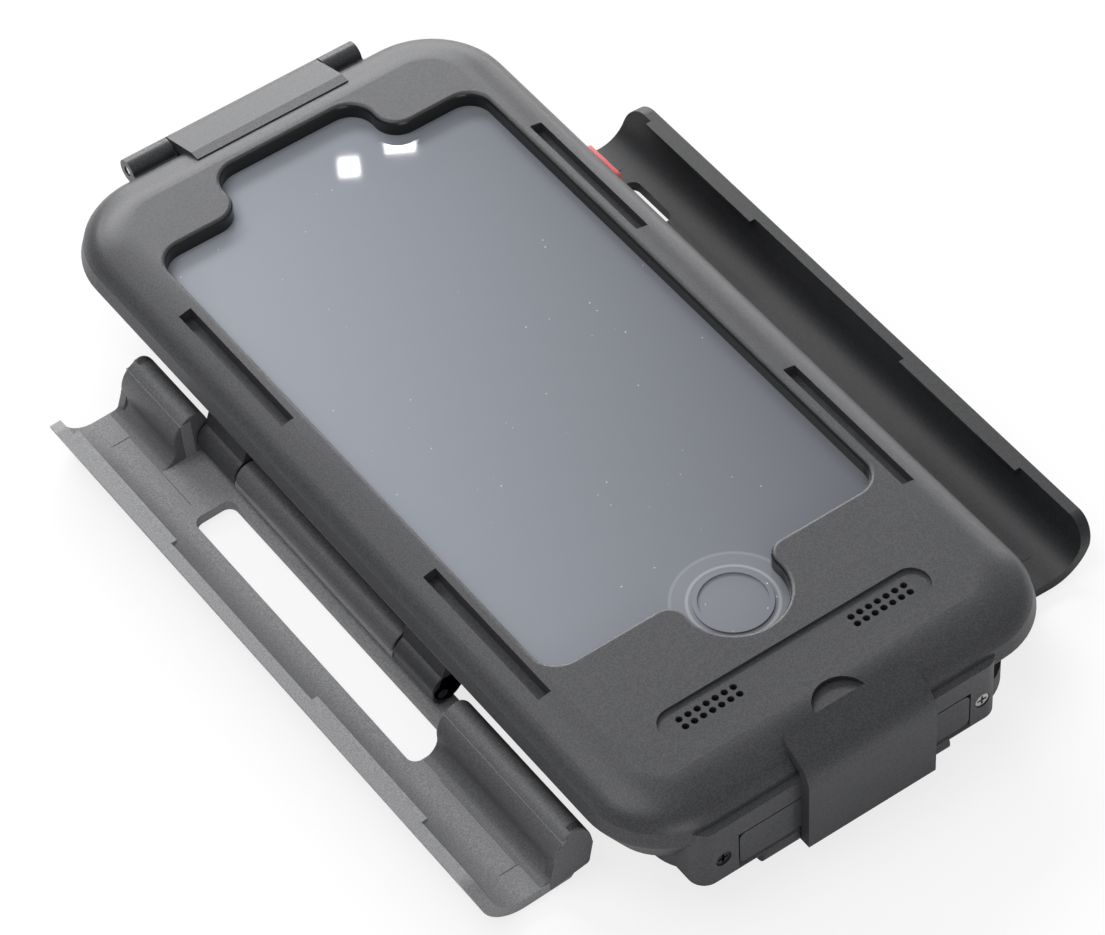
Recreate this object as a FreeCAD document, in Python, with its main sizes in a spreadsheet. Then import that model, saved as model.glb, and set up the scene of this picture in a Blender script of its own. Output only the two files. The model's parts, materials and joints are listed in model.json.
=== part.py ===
"""Waterproof phone case: a hinged front cover on a moulded rear case, two swing-out side latches and a
port door behind a bottom clip. Millimetres. X runs across the case, Y towards the hinge end, Z up from
the surface that the open latches stand on."""
import FreeCAD
import Part
import Sketcher
import math
import os
import re

document = FreeCAD.newDocument("waterproof_phone_case")
sheet = document.addObject("Spreadsheet::Sheet", "sizes")

# Driving dimensions. Depths are measured down from the cover's top face, reaches along Y from the
# middle of the phone's screen.
DRIVING_SIZES = {
    "top_level": 23.44,
    "side_wall": 8.15,
    "hinge_end_wall": 7.65,
    "port_end_wall": 23.45,
    "hinge_corner_radius": 16.0,
    "port_corner_radius": 14.0,
    "parting_depth": 3.7,
    "rim_depth": 6.35,
    "shoulder_width": 6.1,
    "shoulder_drop": 2.85,
    "shoulder_upper_radius": 13.5,
    "shoulder_lower_radius": 5.2,
    "undercut_depth": 13.9,
    "undercut_width": 4.4,
    "keel_drop": 3.1,
    "keel_side_inset": 8.7,
    "keel_hinge_inset": 6.7,
    "keel_port_inset": 1.0,
    "keel_corner_radius": 9.0,
    "back_pad_half_width": 28.0,
    "back_pad_hinge_reach": 50.0,
    "back_pad_port_reach": 76.0,
    "back_pad_radius": 6.0,
    "back_pad_height": 0.3,
    "phone_width": 67.1,
    "phone_length": 138.3,
    "phone_thickness": 7.1,
    "phone_corner_radius": 9.0,
    "phone_clearance": 0.4,
    "floor_pocket_depth": 1.4,
    "floor_rib": 1.6,
    "window_side_overlap": 0.95,
    "window_end_overlap": 12.8,
    "window_corner_radius": 4.5,
    "earpiece_half_width": 15.0,
    "earpiece_height": 10.25,
    "earpiece_radius": 4.6,
    "window_lip_radius": 0.8,
    "home_offset": 4.05,
    "home_notch_radius": 8.9,
    "home_blend_radius": 3.2,
    "home_ring_radius": 6.55,
    "membrane_depth": 2.95,
    "membrane_thickness": 0.5,
    "membrane_flange": 1.6,
    "catch_inset": 5.2,
    "catch_width": 2.4,
    "catch_depth": 2.5,
    "upper_catch_start": 11.9,
    "upper_catch_end": 42.6,
    "lower_catch_start": 28.2,
    "lower_catch_end": 59.4,
    "speaker_half_length": 26.05,
    "speaker_half_width": 3.3,
    "speaker_inset": 16.6,
    "speaker_recess_depth": 0.6,
    "sound_hole_radius": 0.6,
    "sound_hole_pitch": 1.74,
    "sound_hole_row_gap": 1.67,
    "sound_hole_first": 11.5,
    "sound_hole_count": 7,
    "chamber_half_length": 24.5,
    "chamber_half_width": 3.0,
    "sound_membrane_thickness": 0.4,
    "finger_dish_radius": 5.0,
    "finger_dish_inset": 4.5,
    "finger_dish_depth": 1.0,
    "cover_axis_gap": 2.8,
    "cover_axis_depth": 4.7,
    "cover_barrel_radius": 2.2,
    "cover_pin_radius": 0.9,
    "pin_clearance": 0.05,
    "leaf_left": 14.7,
    "leaf_right": 16.3,
    "cover_knuckle_width": 7.0,
    "knuckle_gap": 0.3,
    "leaf_crease_inset": 4.3,
    "latch_axis_inset": 1.7,
    "latch_axis_drop": 1.6,
    "latch_open_angle": 93.0,
    "latch_wall": 2.0,
    "latch_barrel_radius": 2.1,
    "latch_pin_radius": 0.9,
    "latch_side_gap": 0.5,
    "latch_hinge_reach": 48.5,
    "latch_port_reach": 76.0,
    "lip_slope_ratio": 0.268,
    "lip_inner_radius": 6.0,
    "tab_side_gap": 0.15,
    "lip_height": 0.25,
    "tab_drop": 1.1,
    "tab_thickness": 1.25,
    "tab_end_gap": 0.4,
    "shelf_depth": 4.3,
    "shelf_reach": 8.0,
    "shelf_wall": 2.0,
    "latch_corner_radius": 4.5,
    "latch_window_low": 3.4,
    "latch_window_high": 11.0,
    "latch_window_hinge_reach": 20.0,
    "latch_window_port_reach": 44.0,
    "upper_knuckle_start": 20.3,
    "upper_knuckle_end": 31.6,
    "lower_knuckle_start": 26.0,
    "lower_knuckle_end": 37.0,
    "block_left": 32.0,
    "block_right": 27.0,
    "block_overhang": 1.0,
    "block_length": 14.0,
    "door_left": 24.3,
    "door_right": 20.6,
    "door_top_depth": 8.8,
    "door_bottom_depth": 15.8,
    "door_thickness": 2.4,
    "door_tongue_half_width": 11.0,
    "door_tongue_depth": 5.0,
    "door_gap": 0.25,
    "plug_half_width": 6.4,
    "plug_half_height": 1.7,
    "plug_depth": 2.0,
    "port_depth": 8.2,
    "port_wall_clearance": 0.35,
    "seal_section": 0.5,
    "seal_length": 1.2,
    "clip_half_width": 12.5,
    "clip_wall": 2.0,
    "clip_thickness": 1.8,
    "clip_hook_length": 5.4,
    "clip_hook_height": -0.5,
    "clip_corner_radius": 5.0,
    "clip_bottom_drop": 1.1,
    "door_lip_bevel": 0.8,
    "clip_axis_inset": 1.7,
    "clip_axis_drop": 1.2,
    "clip_barrel_radius": 1.8,
    "clip_pin_radius": 0.75,
    "clip_knuckle_left_width": 7.05,
    "clip_knuckle_right_width": 4.15,
    "seal_inset": 3.9,
    "seal_width": 1.7,
    "seal_depth": 1.6,
    "cushion_thickness": 2.2,
    "button_reach": 32.8,
    "button_length": 10.6,
    "button_height": 2.6,
    "button_depth": 7.6,
    "button_travel": 0.7,
    "button_protrusion": 2.2,
    "camera_side_inset": 11.05,
    "camera_end_inset": 9.15,
    "camera_bore_radius": 6.0,
    "camera_glass_radius": 7.4,
    "camera_glass_thickness": 1.6,
    "screw_left": 27.4,
    "screw_right": 23.3,
    "screw_depth": 12.2,
    "screw_head_radius": 1.3,
    "screw_shank_radius": 0.8,
    "screw_length": 7.0,
}
for row, (alias, number) in enumerate(DRIVING_SIZES.items(), start=1):
    sheet.set(f"A{row}", alias)
    sheet.set(f"B{row}", str(number))
    sheet.setAlias(f"B{row}", alias)
document.recompute()

# Dimensions that follow from the driving ones, each as its formula.
DERIVED_SIZES = {
    "rim_half_width": "phone_width / 2 + phone_clearance + side_wall",
    "hinge_end_reach": "phone_length / 2 + phone_clearance + hinge_end_wall",
    "port_end_reach": "phone_length / 2 + phone_clearance + port_end_wall",
    "keel_half_width": "rim_half_width - keel_side_inset",
    "keel_hinge_reach": "hinge_end_reach - keel_hinge_inset",
    "keel_port_reach": "port_end_reach - keel_port_inset",
    "underside_depth": "undercut_depth + keel_drop",
    "window_half_width": "phone_width / 2 - window_side_overlap",
    "window_half_length": "phone_length / 2 - window_end_overlap",
    "home_reach": "window_half_length + home_offset",
    "camera_offset": "phone_width / 2 - camera_side_inset",
    "camera_reach": "phone_length / 2 - camera_end_inset",
    "earpiece_reach": "window_half_length + earpiece_height",
    "catch_outer_offset": "rim_half_width - catch_inset",
    "speaker_reach": "port_end_reach - speaker_inset",
    "finger_dish_reach": "port_end_reach - finger_dish_inset",
    "cover_axis_reach": "hinge_end_reach + cover_axis_gap",
    "leaf_crease_reach": "hinge_end_reach - leaf_crease_inset",
    "knuckle_reach": "leaf_right + knuckle_gap + cover_knuckle_width",
    "latch_axis_offset": "rim_half_width - latch_axis_inset",
    "latch_axis_depth": "underside_depth + latch_axis_drop",
    "lip_reach": "catch_outer_offset - catch_width + tab_side_gap",
    "block_reach": "port_end_reach + block_overhang",
    "block_depth": "block_reach - block_length",
    "clip_face_reach": "block_reach + clip_wall",
    "clip_hook_reach": "block_reach - clip_hook_length",
    "clip_axis_reach": "block_reach - clip_axis_inset",
    "clip_axis_depth": "underside_depth + clip_axis_drop",
    "clip_bottom_depth": "clip_axis_depth + clip_bottom_drop",
    "clip_knuckle_left": "clip_half_width + door_gap + clip_knuckle_left_width",
    "clip_knuckle_right": "clip_half_width + door_gap + clip_knuckle_right_width",
}

# The row's origin is under the middle of the whole outline, so every piece is moved along Y by this much.
CENTRE_SHIFT = "(clip_face_reach - cover_axis_reach - cover_barrel_radius) / 2"

# Levels and offsets that several pieces share, each worked out from the driving dimensions.
PARTING = "(top_level - parting_depth)"
RIM = "(top_level - rim_depth)"
UNDERCUT = "(top_level - undercut_depth)"
UNDERSIDE = "(top_level - underside_depth)"
MEMBRANE_TOP = "(top_level - membrane_depth)"
SCREEN = f"({MEMBRANE_TOP} - membrane_thickness)"
PHONE_BACK = f"({SCREEN} - phone_thickness)"
BAY_FLOOR = f"({PHONE_BACK} - cushion_thickness)"
BAY_HALF_WIDTH = "(phone_width / 2 + phone_clearance)"
BAY_HALF_LENGTH = "(phone_length / 2 + phone_clearance)"
LATCH_AXIS = "(top_level - latch_axis_depth)"
LATCH_INNER = "(rim_half_width + latch_side_gap - latch_axis_offset)"
CLIP_AXIS = "(top_level - clip_axis_depth)"
COVER_AXIS = "(top_level - cover_axis_depth)"
PORT_LEVEL = "(top_level - port_depth)"


def bound(expression):
    """Return the expression with each driving size as its cell in the sheet and each derived one as its formula."""
    def written(word):
        name = word.group()
        if name in DERIVED_SIZES:
            return f"({bound(DERIVED_SIZES[name])})"
        return f"sizes.{name}" if name in DRIVING_SIZES else name
    return re.sub(r"[a-z][a-z_]+", written, expression)


def value(expression):
    """Return an expression's present value in millimetres or degrees."""
    return float(sheet.evalExpression(bound(expression).replace("sizes.", "")))


def new_body(label):
    """Start a solid whose Placement carries the shift to the row's origin."""
    body = document.addObject("PartDesign::Body", label)
    body.Label = label
    body.setExpression(".Placement.Base.y", bound(CENTRE_SHIFT))
    return body


def new_sketch(body, name, role, offset):
    """Attach a sketch to one of the body's own origin planes, moved along its normal by offset."""
    sketch = body.newObject("Sketcher::SketchObject", name)
    plane = next(feature for feature in body.Origin.OriginFeatures if feature.Role == role)
    sketch.AttachmentSupport = [(plane, "")]
    sketch.MapMode = "FlatFace"
    sketch.setExpression(".AttachmentOffset.Base.z", bound(offset))
    return sketch


def fix_point(sketch, geometry, point, x, y):
    """Hold a sketch point at two expressions."""
    for kind, expression in (("DistanceX", x), ("DistanceY", y)):
        index = sketch.addConstraint(Sketcher.Constraint(kind, geometry, point, value(expression)))
        sketch.setExpression(f"Constraints[{index}]", bound(expression))


def add_polygon(sketch, corners):
    """Add a closed outline of straight lines through the corners, each a pair of expressions."""
    first = sketch.GeometryCount
    places = [FreeCAD.Vector(value(x), value(y), 0) for x, y in corners]
    count = len(corners)
    for index, start in enumerate(places):
        sketch.addGeometry(Part.LineSegment(start, places[(index + 1) % count]), False)
    for index in range(count):
        following = first + (index + 1) % count
        sketch.addConstraint(Sketcher.Constraint("Coincident", first + index, 2, following, 1))
    for index, (x, y) in enumerate(corners):
        fix_point(sketch, first + index, 1, x, y)


def rectangle(left, low, right, high):
    """Return the four corners of an upright rectangle."""
    return [(left, low), (right, low), (right, high), (left, high)]


def add_rounded(sketch, corners, radii):
    """Add a rectangle with rounded corners: corners as rectangle gives them, a radius for each."""
    first = sketch.GeometryCount
    inward = [(1, 1), (-1, 1), (-1, -1), (1, -1)]
    centres = []
    for quarter, ((x, y), radius, (along, up)) in enumerate(zip(corners, radii, inward)):
        centre_x = f"{x} {'+' if along > 0 else '-'} ({radius})"
        centre_y = f"{y} {'+' if up > 0 else '-'} ({radius})"
        centre = FreeCAD.Vector(value(centre_x), value(centre_y), 0)
        circle = Part.Circle(centre, FreeCAD.Vector(0, 0, 1), value(radius))
        start = math.pi + quarter * math.pi / 2
        sketch.addGeometry(Part.ArcOfCircle(circle, start, start + math.pi / 2), False)
        centres.append((centre_x, centre_y))
    arcs = [sketch.Geometry[first + quarter] for quarter in range(4)]
    for quarter in range(4):
        following = arcs[(quarter + 1) % 4]
        line = sketch.addGeometry(Part.LineSegment(arcs[quarter].EndPoint, following.StartPoint), False)
        sketch.addConstraint(Sketcher.Constraint("Tangent", first + quarter, 2, line, 1))
    for quarter in range(4):
        sketch.addConstraint(Sketcher.Constraint("Tangent", first + 4 + quarter, 2, first + (quarter + 1) % 4, 1))
    for quarter, (centre_x, centre_y) in enumerate(centres):
        fix_point(sketch, first + quarter, 3, centre_x, centre_y)
        index = sketch.addConstraint(Sketcher.Constraint("Radius", first + quarter, value(radii[quarter])))
        sketch.setExpression(f"Constraints[{index}]", bound(radii[quarter]))


def add_circle(sketch, x, y, radius):
    """Add a circle with its centre and radius held by expressions."""
    centre = FreeCAD.Vector(value(x), value(y), 0)
    geometry = sketch.addGeometry(Part.Circle(centre, FreeCAD.Vector(0, 0, 1), value(radius)), False)
    fix_point(sketch, geometry, 3, x, y)
    index = sketch.addConstraint(Sketcher.Constraint("Radius", geometry, value(radius)))
    sketch.setExpression(f"Constraints[{index}]", bound(radius))


def shaped(body, kind, name, sketch, length, reverse=False):
    """Pad or pocket a sketch by a length and recompute, so that later features can read the result."""
    feature = body.newObject(f"PartDesign::{kind}", name)
    feature.Profile = sketch
    feature.Reversed = reverse
    feature.setExpression("Length", bound(length))
    document.recompute()
    return feature


def pad_outline(body, name, role, offset, corners, length, reverse=False):
    """Add a prism with a straight-sided outline."""
    sketch = new_sketch(body, f"{name}_outline", role, offset)
    add_polygon(sketch, corners)
    return shaped(body, "Pad", name, sketch, length, reverse)


def cut_outline(body, name, role, offset, corners, length, reverse=False):
    """Cut a prism with a straight-sided outline."""
    sketch = new_sketch(body, f"{name}_outline", role, offset)
    add_polygon(sketch, corners)
    return shaped(body, "Pocket", name, sketch, length, reverse)


def rounded_feature(body, kind, name, sides, length, reverse=False):
    """Add or cut a prism with rounded outlines: sides holds the plane's role, its offset and the outlines."""
    role, offset, outlines = sides
    sketch = new_sketch(body, f"{name}_outline", role, offset)
    for corners, radii in outlines:
        add_rounded(sketch, corners, radii)
    return shaped(body, kind, name, sketch, length, reverse)


def round_feature(body, kind, name, sides, length, reverse=False):
    """Add or cut cylinders: sides holds the plane's role, its offset and the circles as x, y, radius."""
    role, offset, circles = sides
    sketch = new_sketch(body, f"{name}_circles", role, offset)
    for x, y, radius in circles:
        add_circle(sketch, x, y, radius)
    return shaped(body, kind, name, sketch, length, reverse)


def edges_where(feature, chosen):
    """Name the edges of a feature whose bounding box passes a test."""
    return [f"Edge{index}" for index, edge in enumerate(feature.Shape.Edges, start=1)
            if chosen(edge.BoundBox, edge)]


def fillet(body, name, base, radius, chosen):
    """Round the chosen edges of a feature."""
    feature = body.newObject("PartDesign::Fillet", name)
    feature.Base = (base, edges_where(base, chosen))
    feature.setExpression("Radius", bound(radius))
    document.recompute()
    return feature


def chamfer(body, name, base, first, second, chosen, flip=False):
    """Bevel the chosen edges with two distances."""
    feature = body.newObject("PartDesign::Chamfer", name)
    feature.Base = (base, edges_where(base, chosen))
    feature.ChamferType = "Two distances"
    feature.setExpression("Size", bound(first))
    feature.setExpression("Size2", bound(second))
    feature.FlipDirection = flip
    document.recompute()
    return feature


def near(number, expression, margin=0.02):
    """Say whether a coordinate lies at an expression's value."""
    return abs(number - value(expression)) < margin


def at_level(level):
    """Choose the flat edges at a height."""
    def chosen(box, edge):
        return near(box.ZMin, level) and near(box.ZMax, level)
    return chosen


def upright(x_test, y_test):
    """Choose the vertical edges whose place passes two tests."""
    def chosen(box, edge):
        return box.ZLength > 0.2 and box.XLength < 0.01 and box.YLength < 0.01 and x_test(box.XMin) and y_test(box.YMin)
    return chosen


def make_front_cover():
    """The moulded lid: rounded shoulder, stepped window, catch slots, speaker recess and hinge leaf."""
    body = new_body("front_cover")
    depth = "(rim_depth + 1)"
    base = f"(top_level - {depth})"
    plate = pad_outline(body, "cover_plate", "XY_Plane", base,
                        rectangle("-rim_half_width", "-port_end_reach", "rim_half_width", "hinge_end_reach"), depth)
    hinge_corners = fillet(body, "hinge_corners", plate, "hinge_corner_radius",
                           upright(lambda x: True, lambda y: y > 0))
    corners = fillet(body, "port_corners", hinge_corners, "port_corner_radius",
                     upright(lambda x: True, lambda y: y < 0))
    slope = chamfer(body, "shoulder_slope", corners, "shoulder_width", "shoulder_drop", at_level("top_level"), True)
    lower = fillet(body, "shoulder_lower", slope, "shoulder_lower_radius", at_level("(top_level - shoulder_drop)"))
    upper = fillet(body, "shoulder_upper", lower, "shoulder_upper_radius", at_level("top_level"))
    reach = "(port_end_reach + hinge_end_reach)"
    cut_outline(body, "below_parting", "XY_Plane", PARTING,
                rectangle("-rim_half_width - 1", f"-{reach}", "rim_half_width + 1", reach), depth)
    leaf_width = "(leaf_left + leaf_right)"
    leaf = [("leaf_crease_reach - 2", PARTING), (f"cover_axis_reach - cover_barrel_radius * 0.6", PARTING),
            ("cover_axis_reach", f"{COVER_AXIS} - cover_barrel_radius * 0.6"),
            ("cover_axis_reach + cover_barrel_radius * 0.5", f"{COVER_AXIS} + cover_barrel_radius * 0.86"),
            ("leaf_crease_reach", "top_level - 0.02"), ("leaf_crease_reach - 2", "top_level - 0.02")]
    pad_outline(body, "hinge_leaf", "YZ_Plane", "-leaf_left", leaf, leaf_width)
    barrel = ("YZ_Plane", "-leaf_left", [("cover_axis_reach", COVER_AXIS, "cover_barrel_radius")])
    round_feature(body, "Pad", "hinge_barrel", barrel, leaf_width)
    bore = ("YZ_Plane", "-leaf_left - 1", [("cover_axis_reach", COVER_AXIS, "cover_pin_radius + pin_clearance")])
    round_feature(body, "Pocket", "hinge_bore", bore, f"{leaf_width} + 2", True)
    window = [("-window_half_width", "-window_half_length"), ("window_half_width", "-window_half_length"),
              ("window_half_width", "window_half_length"), ("earpiece_half_width", "window_half_length"),
              ("earpiece_half_width", "earpiece_reach"), ("-earpiece_half_width", "earpiece_reach"),
              ("-earpiece_half_width", "window_half_length"), ("-window_half_width", "window_half_length")]
    opening = cut_outline(body, "window", "XY_Plane", "top_level + 1", window, "parting_depth + 2")
    notch = ("XY_Plane", "top_level + 1", [("0", "-home_reach", "home_notch_radius")])
    opening = round_feature(body, "Pocket", "home_notch", notch, "parting_depth + 2")
    half_width = value("window_half_width")
    half_length = value("window_half_length")
    opening = fillet(body, "window_corners", opening, "window_corner_radius",
                     upright(lambda x: abs(abs(x) - half_width) < 0.02, lambda y: abs(abs(y) - half_length) < 0.02))
    ear = value("earpiece_half_width")
    opening = fillet(body, "earpiece_corners", opening, "earpiece_radius",
                     upright(lambda x: abs(abs(x) - ear) < 0.02, lambda y: y > 0))
    notch_x = value("home_notch_radius")
    opening = fillet(body, "home_blend", opening, "home_blend_radius",
                     upright(lambda x: abs(x) < notch_x, lambda y: abs(y + half_length) < 0.02))

    def window_edge(box, edge):
        inside = max(abs(box.XMin), abs(box.XMax)) < half_width + 0.1
        return near(box.ZMin, "top_level") and near(box.ZMax, "top_level") and inside and box.YMax < value("earpiece_reach") + 0.1
    lip = fillet(body, "window_lip", opening, "window_lip_radius", window_edge)
    recess = rectangle("-window_half_width - membrane_flange", "-home_reach - home_notch_radius - membrane_flange",
                       "window_half_width + membrane_flange", "earpiece_reach + membrane_flange")
    cut_outline(body, "membrane_seat", "XY_Plane", PARTING, recess, "parting_depth - membrane_depth", True)
    slots = new_sketch(body, "catch_slots_outline", "XY_Plane", "top_level")
    for side in ("-", ""):
        for start, end in (("upper_catch_start", "upper_catch_end"), ("-lower_catch_end", "-lower_catch_start")):
            add_polygon(slots, rectangle(f"{side}(catch_outer_offset - catch_width)", start,
                                         f"{side}catch_outer_offset", end))
    shaped(body, "Pocket", "catch_slots", slots, "catch_depth")
    stadium = rectangle("-speaker_half_length", "-speaker_reach - speaker_half_width",
                        "speaker_half_length", "-speaker_reach + speaker_half_width")
    speaker = cut_outline(body, "speaker_recess", "XY_Plane", "top_level", stadium, "speaker_recess_depth")
    ends = value("speaker_half_length")
    fillet(body, "speaker_ends", speaker, "speaker_half_width - 0.02",
           upright(lambda x: abs(abs(x) - ends) < 0.02, lambda y: y < -value("home_reach")))
    rows = [f"-speaker_reach {sign} sound_hole_row_gap / 2" for sign in "+-"]
    starts = ["-sound_hole_first - sound_hole_pitch * (sound_hole_count - 1)", "sound_hole_first"]
    circles = [(start, row, "sound_hole_radius") for start in starts for row in rows]
    first_holes = round_feature(body, "Pocket", "sound_holes_first", ("XY_Plane", "top_level", circles), "parting_depth + 1")
    pattern = body.newObject("PartDesign::LinearPattern", "sound_holes")
    pattern.Originals = [first_holes]
    pattern.Direction = (first_holes.Profile[0], ["H_Axis"])
    pattern.setExpression("Occurrences", bound("sound_hole_count"))
    pattern.setExpression("Length", bound("sound_hole_pitch * (sound_hole_count - 1)"))
    body.Tip = pattern
    document.recompute()
    dish = ("XY_Plane", "top_level + 1", [("0", "-finger_dish_reach", "finger_dish_radius")])
    round_feature(body, "Pocket", "finger_dish", dish, "finger_dish_depth + 1")
    return body


def add_rim(body):
    """The rear case's rim and the undercut sides below it."""
    rim = pad_outline(body, "rim", "XY_Plane", UNDERCUT,
                      rectangle("-rim_half_width", "-port_end_reach", "rim_half_width", "hinge_end_reach"),
                      "undercut_depth - parting_depth")
    hinge = fillet(body, "rim_hinge_corners", rim, "hinge_corner_radius", upright(lambda x: True, lambda y: y > 0))
    corners = fillet(body, "rim_port_corners", hinge, "port_corner_radius", upright(lambda x: True, lambda y: y < 0))
    under = chamfer(body, "undercut", corners, "undercut_width", "undercut_depth - rim_depth",
                    at_level(UNDERCUT), True)
    chamfer(body, "rim_top", under, "0.7", "rim_depth - parting_depth - 0.3",
            at_level(PARTING), True)
    keel = rectangle("-keel_half_width", "-keel_port_reach", "keel_half_width", "keel_hinge_reach")
    rounded_feature(body, "Pad", "keel", ("XY_Plane", UNDERSIDE, [(keel, ["keel_corner_radius"] * 4)]),
                    "underside_depth - undercut_depth + 1")
    pad = rectangle("-back_pad_half_width", "-back_pad_port_reach", "back_pad_half_width", "back_pad_hinge_reach")
    rounded_feature(body, "Pad", "back_pad",
                    ("XY_Plane", f"{UNDERSIDE} - back_pad_height", [(pad, ["back_pad_radius"] * 4)]),
                    "back_pad_height + 1")


def cut_bay(body):
    """The phone's bay, the lattice in its floor, the speaker chamber and the gasket groove."""
    depth = f"{PARTING} - {BAY_FLOOR}"
    bay = rectangle(f"-{BAY_HALF_WIDTH}", f"-{BAY_HALF_LENGTH}", BAY_HALF_WIDTH, BAY_HALF_LENGTH)
    rounded_feature(body, "Pocket", "phone_bay",
                    ("XY_Plane", PARTING, [(bay, ["(phone_corner_radius + phone_clearance)"] * 4)]), depth)
    lattice = new_sketch(body, "floor_lattice_outline", "XY_Plane", BAY_FLOOR)
    columns, rows = 3, 6
    for column in range(columns):
        for row in range(rows):
            if column == columns - 1 and row == rows - 1:
                continue
            wide = f"(2 * {BAY_HALF_WIDTH} - 8) / {columns}"
            tall = f"(2 * {BAY_HALF_LENGTH} - 22) / {rows}"
            left = f"-{BAY_HALF_WIDTH} + 4 + {column} * {wide} + floor_rib / 2"
            low = f"-{BAY_HALF_LENGTH} + 11 + {row} * {tall} + floor_rib / 2"
            add_polygon(lattice, rectangle(left, low, f"{left} + {wide} - floor_rib", f"{low} + {tall} - floor_rib"))
    shaped(body, "Pocket", "floor_lattice", lattice, "floor_pocket_depth")
    chamber = rectangle("-chamber_half_length", "-speaker_reach - chamber_half_width",
                        "chamber_half_length", "-speaker_reach + chamber_half_width")
    cut_outline(body, "speaker_chamber", "XY_Plane", PARTING, chamber, "port_depth - parting_depth + 2.5")
    passage = rectangle("-chamber_half_length + 4", "-speaker_reach", "chamber_half_length - 4",
                        f"-{BAY_HALF_LENGTH} + 1")
    cut_outline(body, "chamber_passage", "XY_Plane", f"{PARTING} - 1.5", passage, "port_depth - parting_depth")
    rounded_feature(body, "Pocket", "gasket_groove", ("XY_Plane", PARTING, gasket_outlines("0")), "seal_depth")


def gasket_outlines(slack):
    """The outer and inner outlines of the gasket, drawn in from its groove by the slack."""
    outlines = []
    for inset in (f"(seal_inset - seal_width / 2 + {slack})", f"(seal_inset + seal_width / 2 - {slack})"):
        corners = rectangle(f"-rim_half_width + {inset}", f"-port_end_reach + {inset}",
                            f"rim_half_width - {inset}", f"hinge_end_reach - {inset}")
        radii = [f"port_corner_radius - {inset}"] * 2 + [f"hinge_corner_radius - {inset}"] * 2
        outlines.append((corners, radii))
    return outlines


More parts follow.
